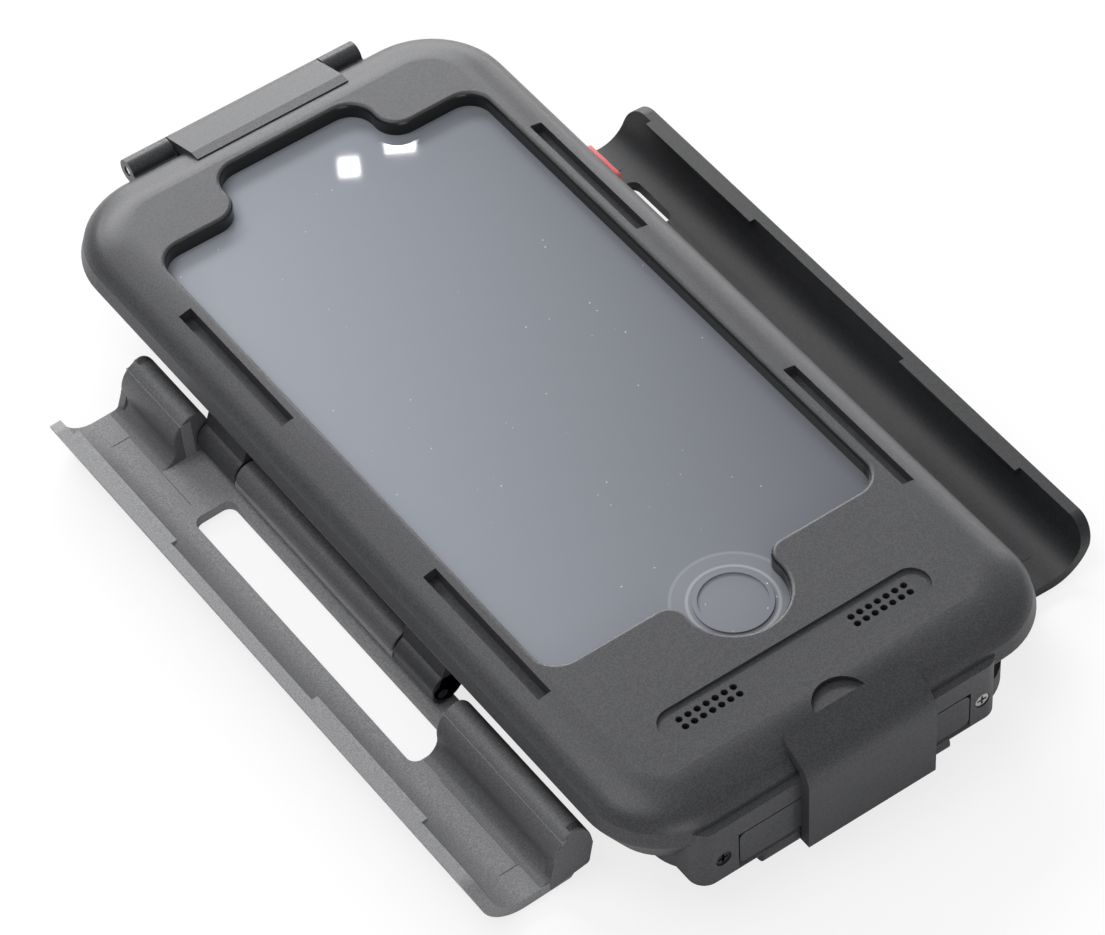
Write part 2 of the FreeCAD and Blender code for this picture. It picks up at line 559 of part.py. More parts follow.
def add_port_block(body):
    """The block at the port end with the door's recess, the port tunnel and the screws' holes."""
    block = pad_outline(body, "port_block", "XY_Plane", UNDERSIDE,
                        rectangle("-block_left", "-block_reach", "block_right", "-block_depth"),
                        "underside_depth - parting_depth - 0.8")
    low = value(UNDERSIDE)
    front = value("block_reach")
    rounded = fillet(body, "block_corners", block, "3",
                     lambda box, edge: box.ZLength > 0.2 and box.XLength < 0.01 and abs(box.YMin + front) < 0.02
                     and abs(box.YMax + front) < 0.02 and box.ZMin < low + 5)
    gap = "door_gap"
    bottom = f"{UNDERSIDE} - 1"
    column = "(door_tongue_half_width + door_gap)"
    recess = [(f"-door_left - {gap}", f"top_level - door_bottom_depth - {gap}"),
              (f"-{column} - 1.5", f"top_level - door_bottom_depth - {gap}"), (f"-{column} - 1.5", bottom),
              (f"{column} + 1.5", bottom), (f"{column} + 1.5", f"top_level - door_bottom_depth - {gap}"),
              (f"door_right + {gap}", f"top_level - door_bottom_depth - {gap}"),
              (f"door_right + {gap}", f"top_level - door_top_depth + {gap}"),
              (column, f"top_level - door_top_depth + {gap}"), (column, f"top_level - door_tongue_depth + {gap}"),
              (f"-{column}", f"top_level - door_tongue_depth + {gap}"),
              (f"-{column}", f"top_level - door_top_depth + {gap}"),
              (f"-door_left - {gap}", f"top_level - door_top_depth + {gap}")]
    cut_outline(body, "door_recess", "XZ_Plane", "block_reach", recess, f"door_thickness + {gap}")
    cut_outline(body, "hinge_relief", "XZ_Plane", "block_reach + 1",
                rectangle(f"-{column} - 1.5", f"{CLIP_AXIS} - 5", f"{column} + 1.5", f"{CLIP_AXIS} + clip_barrel_radius + 0.4"),
                "block_reach + 1 - clip_axis_reach + clip_barrel_radius + 0.3")
    wide = "(plug_half_width + seal_section + port_wall_clearance)"
    tall = "(plug_half_height + seal_section + port_wall_clearance)"
    cut_outline(body, "port_tunnel", "XZ_Plane", "block_reach",
                rectangle(f"-{wide}", f"{PORT_LEVEL} - {tall}", wide, f"{PORT_LEVEL} + {tall}"),
                f"block_reach - {BAY_HALF_LENGTH} + 1")
    lip = f"(top_level - door_bottom_depth - {gap})"
    bevel = [(f"-block_reach + door_lip_bevel", lip), ("-block_reach - 1", f"{lip} - (1 + door_lip_bevel) * 0.81"),
             ("-block_reach - 1", f"{lip} + 0.3"), (f"-block_reach + door_lip_bevel", f"{lip} + 0.3")]
    cut_outline(body, "door_lip", "YZ_Plane", f"-door_left - {gap}", bevel, f"door_left + door_right + 2 * {gap}", True)
    screw_level = "top_level - screw_depth"
    places = [("-screw_left", screw_level), ("screw_right", screw_level)]
    heads = ("XZ_Plane", "block_reach", [(x, y, "screw_head_radius + 0.15") for x, y in places])
    round_feature(body, "Pocket", "screw_counterbores", heads, "1.2")
    shanks = ("XZ_Plane", "block_reach", [(x, y, "screw_shank_radius") for x, y in places])
    round_feature(body, "Pocket", "screw_holes", shanks, "1 + screw_length")
    knuckles = (("left", "-clip_knuckle_left", f"clip_knuckle_left - clip_half_width - {gap}"),
                ("right", f"clip_half_width + {gap}", f"clip_knuckle_right - clip_half_width - {gap}"))
    for side, start, width in knuckles:
        radius = "clip_barrel_radius"
        web = [(f"-clip_axis_reach - {radius}", CLIP_AXIS), (f"-clip_axis_reach + {radius}", CLIP_AXIS),
               (f"-clip_axis_reach + {radius} + 1.5", f"{UNDERSIDE} + 0.5"), (f"-clip_axis_reach - {radius} * 0.66", f"{UNDERSIDE} + 0.5")]
        pad_outline(body, f"clip_web_{side}", "YZ_Plane", start, web, width)
        round_feature(body, "Pad", f"clip_knuckle_{side}",
                      ("YZ_Plane", start, [("-clip_axis_reach", CLIP_AXIS, radius)]), width)
    bore = ("YZ_Plane", "-clip_knuckle_left - 1", [("-clip_axis_reach", CLIP_AXIS, "clip_pin_radius + pin_clearance")])
    round_feature(body, "Pocket", "clip_bore", bore, "clip_knuckle_left + clip_knuckle_right + 2", True)


def add_cover_knuckles(body):
    """The two outer barrels of the cover's hinge with their webs and the pin's bore."""
    radius = "cover_barrel_radius"
    spans = (("left", "-knuckle_reach", "knuckle_reach - leaf_left - knuckle_gap"),
             ("right", "leaf_right + knuckle_gap", "knuckle_reach - leaf_right - knuckle_gap"))
    for side, start, width in spans:
        web = [("hinge_end_reach - 2.5", f"{PARTING} - 0.6"), (f"cover_axis_reach - {radius} * 0.9", f"{PARTING} - 0.6"),
               ("cover_axis_reach", f"{COVER_AXIS} - {radius} * 0.5"), ("cover_axis_reach", f"{COVER_AXIS} - {radius}"),
               ("hinge_end_reach - 2.5", f"{RIM} - 3")]
        pad_outline(body, f"cover_web_{side}", "YZ_Plane", start, web, width)
        round_feature(body, "Pad", f"cover_knuckle_{side}",
                      ("YZ_Plane", start, [("cover_axis_reach", COVER_AXIS, radius)]), width)
    bore = ("YZ_Plane", "-knuckle_reach - 1", [("cover_axis_reach", COVER_AXIS, "cover_pin_radius + pin_clearance")])
    round_feature(body, "Pocket", "cover_bore", bore, "2 * knuckle_reach + 2", True)


def add_latch_knuckles(body, side):
    """The two knuckles that carry one side latch, and the scoops that its shelves swing through."""
    sign = "" if side > 0 else "-"
    axis_x = f"{sign}latch_axis_offset"
    step = "+" if side > 0 else "-"
    back = "-" if side > 0 else "+"
    name = "right" if side > 0 else "left"
    scoops = (("upper", "latch_hinge_reach + 0.5", "latch_hinge_reach + 0.5 - upper_knuckle_end"),
              ("lower", "-latch_window_port_reach + 0.5", "latch_port_reach + 1 - latch_window_port_reach"))
    for zone, start, length in scoops:
        circle = ("XZ_Plane", f"-({start})", [(axis_x, LATCH_AXIS, "shelf_reach - latch_side_gap + 0.2")])
        round_feature(body, "Pocket", f"scoop_{name}_{zone}", circle, length, True)
    spans = (("upper", "upper_knuckle_end", "upper_knuckle_end - upper_knuckle_start"),
             ("lower", "-lower_knuckle_start", "lower_knuckle_end - lower_knuckle_start"))
    for zone, start, length in spans:
        web = [(f"{axis_x} {back} 1.0", f"{LATCH_AXIS} - 1.8"), (f"{axis_x} {back} 7.6", f"{LATCH_AXIS} + 2"),
               (f"{axis_x} {back} 7.6", f"{UNDERCUT} + 1"), (f"{axis_x} {back} 1.6", f"{UNDERCUT} + 3.2"),
               (f"{axis_x} {step} 0.6", f"{LATCH_AXIS} + 1.95")]
        pad_outline(body, f"latch_web_{name}_{zone}", "XZ_Plane", f"-({start})", web, length)
        round_feature(body, "Pad", f"latch_knuckle_{name}_{zone}",
                      ("XZ_Plane", f"-({start})", [(axis_x, LATCH_AXIS, "latch_barrel_radius - 0.15")]), length)
    bore = ("XZ_Plane", "-(upper_knuckle_end + 1)", [(axis_x, LATCH_AXIS, "latch_pin_radius + pin_clearance")])
    round_feature(body, "Pocket", f"latch_bore_{name}", bore, "upper_knuckle_end + lower_knuckle_end + 2", True)


def make_rear_case():
    """The moulded rear shell that carries every hinge."""
    body = new_body("rear_case")
    add_rim(body)
    add_port_block(body)
    cut_bay(body)
    add_cover_knuckles(body)
    for side in (-1, 1):
        add_latch_knuckles(body, side)
    low = "button_reach - button_length / 2 - 0.3"
    high = "button_reach + button_length / 2 + 0.3"
    level = "top_level - button_depth"
    cut_outline(body, "button_hole", "YZ_Plane", f"{BAY_HALF_WIDTH} - 1",
                rectangle(low, f"{level} - button_height / 2 - 0.3", high, f"{level} + button_height / 2 + 0.3"),
                "rim_half_width", True)
    cut_outline(body, "button_flange_seat", "YZ_Plane", f"{BAY_HALF_WIDTH} - 1",
                rectangle(f"{low} - 1.2", f"{level} - button_height / 2 - 1.1", f"{high} + 1.2", f"{level} + button_height / 2 + 1.1"),
                "1 + 3.0", True)
    lens = [("camera_offset", "camera_reach", "camera_bore_radius")]
    round_feature(body, "Pocket", "camera_bore", ("XY_Plane", f"{BAY_FLOOR} + 1", lens), "underside_depth", False)
    seat = [("camera_offset", "camera_reach", "camera_glass_radius + 0.1")]
    round_feature(body, "Pocket", "camera_seat", ("XY_Plane", UNDERSIDE, seat), "camera_glass_thickness + 0.6", True)
    return body


LATCH_OUTER = f"({LATCH_INNER} + latch_wall)"
LIP_X = "(lip_reach - latch_axis_offset)"
LIP_RISE = "(latch_wall * sqrt(1 + lip_slope_ratio ^ 2))"


def lip_level(x):
    """Height of the lip's underside above the latch's barrel at a distance x from it."""
    return f"(latch_axis_depth + lip_height - lip_slope_ratio * ({x} - {LIP_X}))"


def along_y(x, z):
    """Choose the straight edges along Y at a place."""
    def chosen(box, edge):
        return near(box.XMin, x) and near(box.XMax, x) and near(box.ZMin, z) and near(box.ZMax, z)
    return chosen


def make_latch(name, side):
    """One side latch, drawn closed about its barrel's axis and turned out to its open place."""
    body = document.addObject("PartDesign::Body", name)
    body.Label = name
    turn = FreeCAD.Rotation(FreeCAD.Vector(0, side, 0), value("latch_open_angle"))
    body.Placement = FreeCAD.Placement(FreeCAD.Vector(0, 0, 0), turn)
    body.setExpression(".Placement.Rotation.Angle", bound("latch_open_angle"))
    body.setExpression(".Placement.Base.x", bound(f"{side} * latch_axis_offset"))
    body.setExpression(".Placement.Base.y", bound(CENTRE_SHIFT))
    body.setExpression(".Placement.Base.z", bound(LATCH_AXIS))
    start = "-latch_hinge_reach"
    low = "(shelf_depth - shelf_wall)"
    bevel = "(shelf_wall * 0.6)"

    def outline(points):
        return [(f"{side} * ({x})", z) for x, z in points]

    wall = [(LIP_X, lip_level(LIP_X)), (LATCH_INNER, lip_level(LATCH_INNER)), (LATCH_INNER, low),
            (f"{LATCH_OUTER} - {bevel}", low), (LATCH_OUTER, f"{low} + {bevel}"),
            (LATCH_OUTER, f"{lip_level(LATCH_OUTER)} + {LIP_RISE}"), (LIP_X, f"{lip_level(LIP_X)} + {LIP_RISE}")]
    base = pad_outline(body, f"{name}_wall", "XZ_Plane", start, outline(wall), "latch_hinge_reach + latch_port_reach")
    inner = fillet(body, f"{name}_inner_bend", base, "lip_inner_radius",
                   along_y(f"{side} * {LATCH_INNER}", lip_level(LATCH_INNER)))
    outer = fillet(body, f"{name}_outer_bend", inner, "lip_inner_radius + latch_wall",
                   along_y(f"{side} * {LATCH_OUTER}", f"{lip_level(LATCH_OUTER)} + {LIP_RISE}"))
    lip_place = value(f"{side} * {LIP_X}")
    fillet(body, f"{name}_lip_corners", outer, "latch_corner_radius",
           lambda box, edge: abs(box.XMin - lip_place) < 0.02 and box.XLength < 0.01 and box.YLength < 0.01)
    zones = (("upper", "latch_hinge_reach", "latch_hinge_reach - upper_knuckle_end - knuckle_gap"),
             ("lower", "-latch_window_port_reach", "latch_port_reach - latch_window_port_reach"))
    shelf = [(f"{LATCH_INNER} - shelf_reach", low), (f"{LATCH_INNER} + 0.3", low),
             (f"{LATCH_INNER} + 0.3", "shelf_depth"), (f"{LATCH_INNER} - shelf_reach", "shelf_depth")]
    for zone, top, length in zones:
        pad_outline(body, f"{name}_shelf_{zone}", "XZ_Plane", f"-({top})", outline(shelf), length)
    strip = [(LATCH_INNER, "-latch_barrel_radius"), (LATCH_OUTER, "-latch_barrel_radius"),
             (LATCH_OUTER, f"{low} + {bevel} + 1"), (LATCH_INNER, f"{low} + {bevel} + 1")]
    pad_outline(body, f"{name}_strip", "XZ_Plane", "-(upper_knuckle_end + knuckle_gap)", outline(strip),
                "upper_knuckle_end + knuckle_gap + latch_window_port_reach")
    barrel_start = "-(upper_knuckle_start - knuckle_gap)"
    barrel_length = "upper_knuckle_start + lower_knuckle_start - 2 * knuckle_gap"
    web = [("0", "-latch_barrel_radius"), (f"{LATCH_INNER} + 0.2", "-latch_barrel_radius"),
           (f"{LATCH_INNER} + 0.2", "0.3"), ("0", "0.3")]
    pad_outline(body, f"{name}_barrel_web", "XZ_Plane", barrel_start, outline(web), barrel_length)
    round_feature(body, "Pad", f"{name}_barrel", ("XZ_Plane", barrel_start, [("0", "0", "latch_barrel_radius")]),
                  barrel_length)
    for place, first, last in (("upper", "upper_catch_start", "upper_catch_end"),
                               ("lower", "-lower_catch_end", "-lower_catch_start")):
        tip = f"(latch_axis_depth + lip_height - tab_drop)"
        tab = [(LIP_X, tip), (f"{LIP_X} + tab_thickness * 0.55", tip), (f"{LIP_X} + tab_thickness", f"{lip_level(LIP_X)} - 0.1"),
               (f"{LIP_X} + tab_thickness", f"{lip_level(LIP_X)} + 0.3"), (LIP_X, f"{lip_level(LIP_X)} + 0.3")]
        pad_outline(body, f"{name}_tab_{place}", "XZ_Plane", f"-({last} - tab_end_gap)", outline(tab),
                    f"({last}) - ({first}) - 2 * tab_end_gap")
    bore_start = f"{barrel_start} - 1"
    round_feature(body, "Pocket", f"{name}_bore",
                  ("XZ_Plane", bore_start, [("0", "0", "latch_pin_radius + pin_clearance")]), f"{barrel_length} + 2", True)
    cut_start = f"{LATCH_INNER} - 1" if side > 0 else f"-({LATCH_OUTER} + 1)"
    window = rectangle("-latch_window_port_reach", "latch_window_low", "latch_window_hinge_reach", "latch_window_high")
    rounded_feature(body, "Pocket", f"{name}_window", ("YZ_Plane", cut_start, [(window, ["1.8"] * 4)]),
                    "latch_wall + 2", True)
    if side > 0:
        level = "(latch_axis_depth - button_depth)"
        slot = rectangle("button_reach - button_length / 2 - 0.5", f"{level} - button_height / 2 - 0.6",
                         "button_reach + button_length / 2 + 0.5", f"{level} + button_height / 2 + 0.6")
        rounded_feature(body, "Pocket", "button_slot", ("YZ_Plane", cut_start, [(slot, ["1.6"] * 4)]),
                        "latch_wall + 2", True)
    return body


def make_clip():
    """The end clip: a wall in front of the door, a hook over the cover's shoulder and its barrel."""
    body = new_body("bottom_clip")
    ratio = "(shoulder_drop / shoulder_width)"
    rise = f"(clip_thickness * sqrt(1 + {ratio} ^ 2))"
    hook = "(top_level + clip_hook_height)"
    bottom = "(top_level - clip_bottom_depth)"
    inner_level = f"({hook} - {ratio} * (block_reach - clip_hook_reach))"
    outer_level = f"({hook} - {ratio} * (clip_face_reach - clip_hook_reach) + {rise})"
    profile = [("-clip_hook_reach", hook), ("-block_reach", inner_level), ("-block_reach", bottom),
               ("-clip_face_reach", bottom), ("-clip_face_reach", outer_level), ("-clip_hook_reach", f"{hook} + {rise}")]
    wall = pad_outline(body, "clip_wall", "YZ_Plane", "-clip_half_width", profile, "2 * clip_half_width")

    def along_x(y, z):
        return lambda box, edge: near(box.YMin, y) and near(box.YMax, y) and near(box.ZMin, z) and near(box.ZMax, z)
    inner = fillet(body, "clip_inner_bend", wall, "clip_corner_radius - 2.5", along_x("-block_reach", inner_level))
    outer = fillet(body, "clip_outer_bend", inner, "clip_corner_radius", along_x("-clip_face_reach", outer_level))
    hook_place = value("-clip_hook_reach")
    fillet(body, "clip_hook_corners", outer, "2",
           lambda box, edge: abs(box.YMin - hook_place) < 0.02 and box.YLength < 0.01 and box.XLength < 0.01)
    web = rectangle("-block_reach - 0.1", bottom, "-clip_axis_reach", f"{CLIP_AXIS} + 0.8")
    pad_outline(body, "clip_web", "YZ_Plane", "-clip_half_width", web, "2 * clip_half_width")
    round_feature(body, "Pad", "clip_barrel",
                  ("YZ_Plane", "-clip_half_width", [("-clip_axis_reach", CLIP_AXIS, "clip_barrel_radius")]), "2 * clip_half_width")
    bore = ("YZ_Plane", "-clip_half_width - 1", [("-clip_axis_reach", CLIP_AXIS, "clip_pin_radius + pin_clearance")])
    round_feature(body, "Pocket", "clip_pin_bore", bore, "2 * clip_half_width + 2", True)
    return body


def make_door():
    """The port door: a plate with wings and a tongue, and the plug on its back."""
    body = new_body("port_door")
    low = "top_level - door_bottom_depth"
    shoulder = "top_level - door_top_depth"
    tongue = "top_level - door_tongue_depth"
    half = "door_tongue_half_width"
    outline = [("-door_left", low), ("door_right", low), ("door_right", shoulder), (half, shoulder), (half, tongue),
               (f"-{half}", tongue), (f"-{half}", shoulder), ("-door_left", shoulder)]
    plate = pad_outline(body, "door_plate", "XZ_Plane", "block_reach - door_thickness", outline, "door_thickness")
    ends = (value("-door_left"), value("door_right"))
    fillet(body, "door_corners", plate, "1.2",
           lambda box, edge: box.YLength > 0.2 and box.ZLength < 0.01 and box.XLength < 0.01
           and min(abs(box.XMin - end) for end in ends) < 0.02)
    plug = rectangle("-plug_half_width", f"{PORT_LEVEL} - plug_half_height", "plug_half_width",
                     f"{PORT_LEVEL} + plug_half_height")
    rounded_feature(body, "Pad", "plug", ("XZ_Plane", "block_reach - door_thickness", [(plug, ["0.9"] * 4)]),
                    "plug_depth", True)
    return body


def make_port_seal():
    """The rubber ring round the door's plug."""
    body = new_body("port_seal")
    outlines = []
    for grow, radius in (("seal_section", "1.4"), ("0", "0.9")):
        outlines.append((rectangle(f"-plug_half_width - {grow}", f"{PORT_LEVEL} - plug_half_height - {grow}",
                                   f"plug_half_width + {grow}", f"{PORT_LEVEL} + plug_half_height + {grow}"),
                         [radius] * 4))
    rounded_feature(body, "Pad", "seal_ring", ("XZ_Plane", "block_reach - door_thickness", outlines),
                    "seal_length", True)
    return body


def make_rod(name, role, start, centre, radius, length, reverse=False):
    """A plain hinge pin between two reaches."""
    body = new_body(name)
    round_feature(body, "Pad", f"{name}_rod", (role, start, [(*centre, radius)]), length, reverse)
    return body


def make_pins():
    """The steel pins of the cover, the two latches and the clip."""
    return [
        make_rod("cover_hinge_pin", "YZ_Plane", "-knuckle_reach + 0.2", ("cover_axis_reach", COVER_AXIS),
                 "cover_pin_radius", "2 * knuckle_reach - 0.4"),
        make_rod("clip_hinge_pin", "YZ_Plane", "-clip_knuckle_left + 0.2", ("-clip_axis_reach", CLIP_AXIS),
                 "clip_pin_radius", "clip_knuckle_left + clip_knuckle_right - 0.4"),
        make_rod("left_latch_pin", "XZ_Plane", "-upper_knuckle_end + 0.3", ("-latch_axis_offset", LATCH_AXIS),
                 "latch_pin_radius", "upper_knuckle_end + lower_knuckle_end - 0.6"),
        make_rod("right_latch_pin", "XZ_Plane", "-upper_knuckle_end + 0.3", ("latch_axis_offset", LATCH_AXIS),
                 "latch_pin_radius", "upper_knuckle_end + lower_knuckle_end - 0.6"),
    ]


def make_membrane():
    """The clear film behind the window, with the raised ring over the home button."""
    body = new_body("screen_membrane")
    film = rectangle("-window_half_width - membrane_flange + 0.05",
                     "-home_reach - home_notch_radius - membrane_flange + 0.05",
                     "window_half_width + membrane_flange - 0.05", "earpiece_reach + membrane_flange - 0.05")
    rounded_feature(body, "Pad", "film", ("XY_Plane", f"{MEMBRANE_TOP} - membrane_thickness", [(film, ["2"] * 4)]),
                    "membrane_thickness")
    ring = [("0", "-home_reach", "home_ring_radius"), ("0", "-home_reach", "home_ring_radius - 0.8")]
    round_feature(body, "Pad", "home_ring", ("XY_Plane", f"{MEMBRANE_TOP} - 0.1", ring), "0.45")
    return body


def make_gasket():
    """The gasket that seals the cover, seated in the rear case's groove."""
    body = new_body("cover_gasket")
    rounded_feature(body, "Pad", "gasket_ring", ("XY_Plane", f"{PARTING} - seal_depth", gasket_outlines("0.1")),
                    "seal_depth - 0.05")
    return body


def make_button():
    """The power button with the flange that keeps it in the wall."""
    body = new_body("power_button")
    level = "(top_level - button_depth)"
    shank = rectangle("button_reach - button_length / 2", f"{level} - button_height / 2",
                      "button_reach + button_length / 2", f"{level} + button_height / 2")
    back = f"{BAY_HALF_WIDTH} + 1.7"
    rounded_feature(body, "Pad", "shank", ("YZ_Plane", back, [(shank, ["1.2"] * 4)]),
                    f"rim_half_width + button_protrusion - ({back})")
    flange = rectangle("button_reach - button_length / 2 - 1.2", f"{level} - button_height / 2 - 1.0",
                       "button_reach + button_length / 2 + 1.2", f"{level} + button_height / 2 + 1.0")
    rounded_feature(body, "Pad", "flange", ("YZ_Plane", back, [(flange, ["1"] * 4)]), "1")
    return body


def make_button_seal():
    """The washer between the button's flange and the wall."""
    body = new_body("button_seal")
    level = "(top_level - button_depth)"
    outlines = []
    for along, up, radius in (("1.2", "1.0", "1"), ("0.3", "0.3", "0.5")):
        outlines.append((rectangle(f"button_reach - button_length / 2 - {along}", f"{level} - button_height / 2 - {up}",
                                   f"button_reach + button_length / 2 + {along}", f"{level} + button_height / 2 + {up}"),
                         [radius] * 4))
    rounded_feature(body, "Pad", "washer", ("YZ_Plane", f"{BAY_HALF_WIDTH} + 2.7", outlines), "0.3")
    return body


def make_sound_membrane(name, side):
    """The film under one group of speaker holes."""
    body = new_body(name)
    reach = "sound_hole_first + sound_hole_pitch * (sound_hole_count - 1) + 1.3"
    left, right = ("sound_hole_first - 1.3", reach) if side > 0 else (f"-({reach})", "-(sound_hole_first - 1.3)")
    film = rectangle(left, "-speaker_reach - chamber_half_width + 0.4", right, "-speaker_reach + chamber_half_width - 0.4")
    rounded_feature(body, "Pad", f"{name}_film", ("XY_Plane", f"{PARTING} - sound_membrane_thickness", [(film, ["1"] * 4)]),
                    "sound_membrane_thickness")
    return body


def make_camera_parts():
    """The rear camera's glass and the ring that holds it."""
    glass = new_body("camera_window")
    round_feature(glass, "Pad", "glass_disc",
                  ("XY_Plane", f"{UNDERSIDE} + 0.6", [("camera_offset", "camera_reach", "camera_glass_radius")]),
                  "camera_glass_thickness")
    ring = new_body("camera_seal")
    circles = [("camera_offset", "camera_reach", "camera_glass_radius"),
               ("camera_offset", "camera_reach", "camera_bore_radius + 0.2")]
    round_feature(ring, "Pad", "seal_band", ("XY_Plane", f"{UNDERSIDE} + 0.2", circles), "0.4")
    return [glass, ring]


def make_cushion():
    """The soft sheet on the bay's floor, open behind the camera."""
    body = new_body("phone_cushion")
    sheet_outline = rectangle(f"-{BAY_HALF_WIDTH} + 0.5", f"-{BAY_HALF_LENGTH} + 0.5", f"{BAY_HALF_WIDTH} - 0.5",
                              f"{BAY_HALF_LENGTH} - 0.5")
    rounded_feature(body, "Pad", "cushion_sheet", ("XY_Plane", BAY_FLOOR, [(sheet_outline, ["phone_corner_radius"] * 4)]),
                    "cushion_thickness")
    hole = [("camera_offset", "camera_reach", "camera_glass_radius")]
    round_feature(body, "Pocket", "camera_hole", ("XY_Plane", f"{BAY_FLOOR} + cushion_thickness", hole), "cushion_thickness")
    return body


def make_screw(name, place):
    """One cross-head screw in the port block."""
    body = new_body(name)
    level = "top_level - screw_depth"
    head = "block_reach - 1.2"
    round_feature(body, "Pad", f"{name}_head", ("XZ_Plane", head, [(place, level, "screw_head_radius")]), "1.0")
    round_feature(body, "Pad", f"{name}_shank", ("XZ_Plane", head, [(place, level, "screw_shank_radius - 0.02")]),
                  "screw_length - 0.3", True)
    arm = "screw_head_radius * 0.7"
    for direction, wide, tall in (("across", arm, "0.22"), ("upright", "0.22", arm)):
        slot = rectangle(f"{place} - {wide}", f"{level} - {tall}", f"{place} + {wide}", f"{level} + {tall}")
        cut_outline(body, f"{name}_{direction}", "XZ_Plane", "block_reach - 0.2", slot, "0.6")
    return body


def main():
    """Build every piece, check it and write its STEP file."""
    pieces = [make_front_cover(), make_rear_case(), make_latch("left_latch", -1), make_latch("right_latch", 1),
              make_clip(), make_door(), make_port_seal(), *make_pins(), make_membrane(), make_gasket(),
              make_button(), make_button_seal(), make_sound_membrane("speaker_membrane_left", -1),
              make_sound_membrane("speaker_membrane_right", 1), *make_camera_parts(), make_cushion(),
              make_screw("left_screw", "-screw_left"), make_screw("right_screw", "screw_right")]
    document.recompute()
    for item in document.Objects:
        if "Invalid" in item.State or "Error" in item.State:
            raise RuntimeError(f"{item.Name} is {item.State}")
    for piece in pieces:
        if piece.Shape.isNull() or not piece.Shape.isValid() or not piece.Shape.Solids:
            raise RuntimeError(f"{piece.Label} has no valid solid")
    os.makedirs("parts", exist_ok=True)
    for piece in pieces:
        piece.Shape.exportStep(f"parts/{piece.Label}.step")
        print(piece.Label, len(piece.Shape.Solids), round(piece.Shape.Volume, 1))


main()
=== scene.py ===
"""Looks of the waterproof phone case: moulded plastic, film, steel and rubber on the frame."""

import json
import logging
import math
from dataclasses import dataclass
from enum import Enum

import bmesh
import bpy
from mathutils import Matrix, Vector


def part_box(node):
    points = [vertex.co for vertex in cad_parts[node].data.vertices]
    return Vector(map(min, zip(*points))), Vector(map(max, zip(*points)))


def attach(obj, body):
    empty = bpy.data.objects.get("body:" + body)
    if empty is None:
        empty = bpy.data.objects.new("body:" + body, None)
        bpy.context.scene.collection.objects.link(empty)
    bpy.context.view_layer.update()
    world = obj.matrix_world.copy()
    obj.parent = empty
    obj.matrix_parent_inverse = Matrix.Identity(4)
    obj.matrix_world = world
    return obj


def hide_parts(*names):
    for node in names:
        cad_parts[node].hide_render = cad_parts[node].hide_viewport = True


Colour = tuple[float, float, float, float]
Outline = list[tuple[float, float]]
Pair = tuple[float, float]
Triple = tuple[float, float, float]

LOG = logging.getLogger("phone_case")
MM = 0.001
WHITE = (1.0, 1.0, 1.0, 1.0)

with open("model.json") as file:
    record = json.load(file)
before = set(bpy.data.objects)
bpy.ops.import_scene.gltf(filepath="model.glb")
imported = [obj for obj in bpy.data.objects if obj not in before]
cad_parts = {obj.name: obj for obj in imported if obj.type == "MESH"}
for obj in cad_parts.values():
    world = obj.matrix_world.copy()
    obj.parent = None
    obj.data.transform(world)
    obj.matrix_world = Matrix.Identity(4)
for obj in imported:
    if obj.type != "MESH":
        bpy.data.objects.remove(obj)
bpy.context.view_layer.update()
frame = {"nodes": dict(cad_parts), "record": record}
FILM_LOW, FILM_HIGH = (Vector(corner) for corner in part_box("screen_membrane"))
TOP_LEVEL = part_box("front_cover")[1][2]

# The film's top face, below the cover's top face.
FILM_LEVEL = TOP_LEVEL - 2.95 * MM
# From the phone's middle to the frame's origin along Y, in millimetres.
ROW_SHIFT = 6.9
# The home ring's place along Y.
HOME_PLACE = (ROW_SHIFT - 60.4) * MM


class Grain(Enum):
    """Fine grains, each with its noise scale, detail, stretch, bump strength and depth."""

    POLISHED = None
    DRAWN = (900.0, 3.0, (1.0, 12.0, 12.0), 0.25, 0.00001)
    SOFT = (3200.0, 2.0, (1.0, 1.0, 1.0), 0.3, 0.00002)


class Sock:
    """A shader socket with Python operators, each adding its Math node."""

    def __init__(self, tree: "Tree", socket: bpy.types.NodeSocket) -> None:
        """Keep the socket and the tree that it belongs to.

        Args:
            tree: the node tree wrapper.
            socket: an output socket that carries a value.
        """
        self.tree = tree
        self.socket = socket

    def _maths(self, operation: str, first: "float | Sock", second: "float | Sock") -> "Sock":
        """Add a Math node.

        Args:
            operation: the Math node's operation.
            first: a number or a wrapped socket.
            second: a number or a wrapped socket.

        Returns:
            The node's wrapped result.
        """
        return self.tree.add("ShaderNodeMath", {"operation": operation}, [first, second])

    def __add__(self, other: "float | Sock") -> "Sock":
        """Add."""
        return self._maths("ADD", self, other)

    def __radd__(self, other: "float | Sock") -> "Sock":
        """Add, reflected."""
        return self._maths("ADD", other, self)

    def __sub__(self, other: "float | Sock") -> "Sock":
        """Subtract."""
        return self._maths("SUBTRACT", self, other)

    def __rsub__(self, other: "float | Sock") -> "Sock":
        """Subtract, reflected."""
        return self._maths("SUBTRACT", other, self)

    def __mul__(self, other: "float | Sock") -> "Sock":
        """Multiply."""
        return self._maths("MULTIPLY", self, other)

    def __rmul__(self, other: "float | Sock") -> "Sock":
        """Multiply, reflected."""
        return self._maths("MULTIPLY", other, self)

    def __pow__(self, other: "float | Sock") -> "Sock":
        """Raise to a power."""
        return self._maths("POWER", self, other)

    def __gt__(self, other: "float | Sock") -> "Sock":
        """Compare: one where this is greater."""
        return self._maths("GREATER_THAN", self, other)

    def clamped(self) -> "Sock":
        """Hold the value between nought and one.

        Returns:
            The wrapped result.
        """
        return self._maths("MINIMUM", self._maths("MAXIMUM", self, 0.0), 1.0)


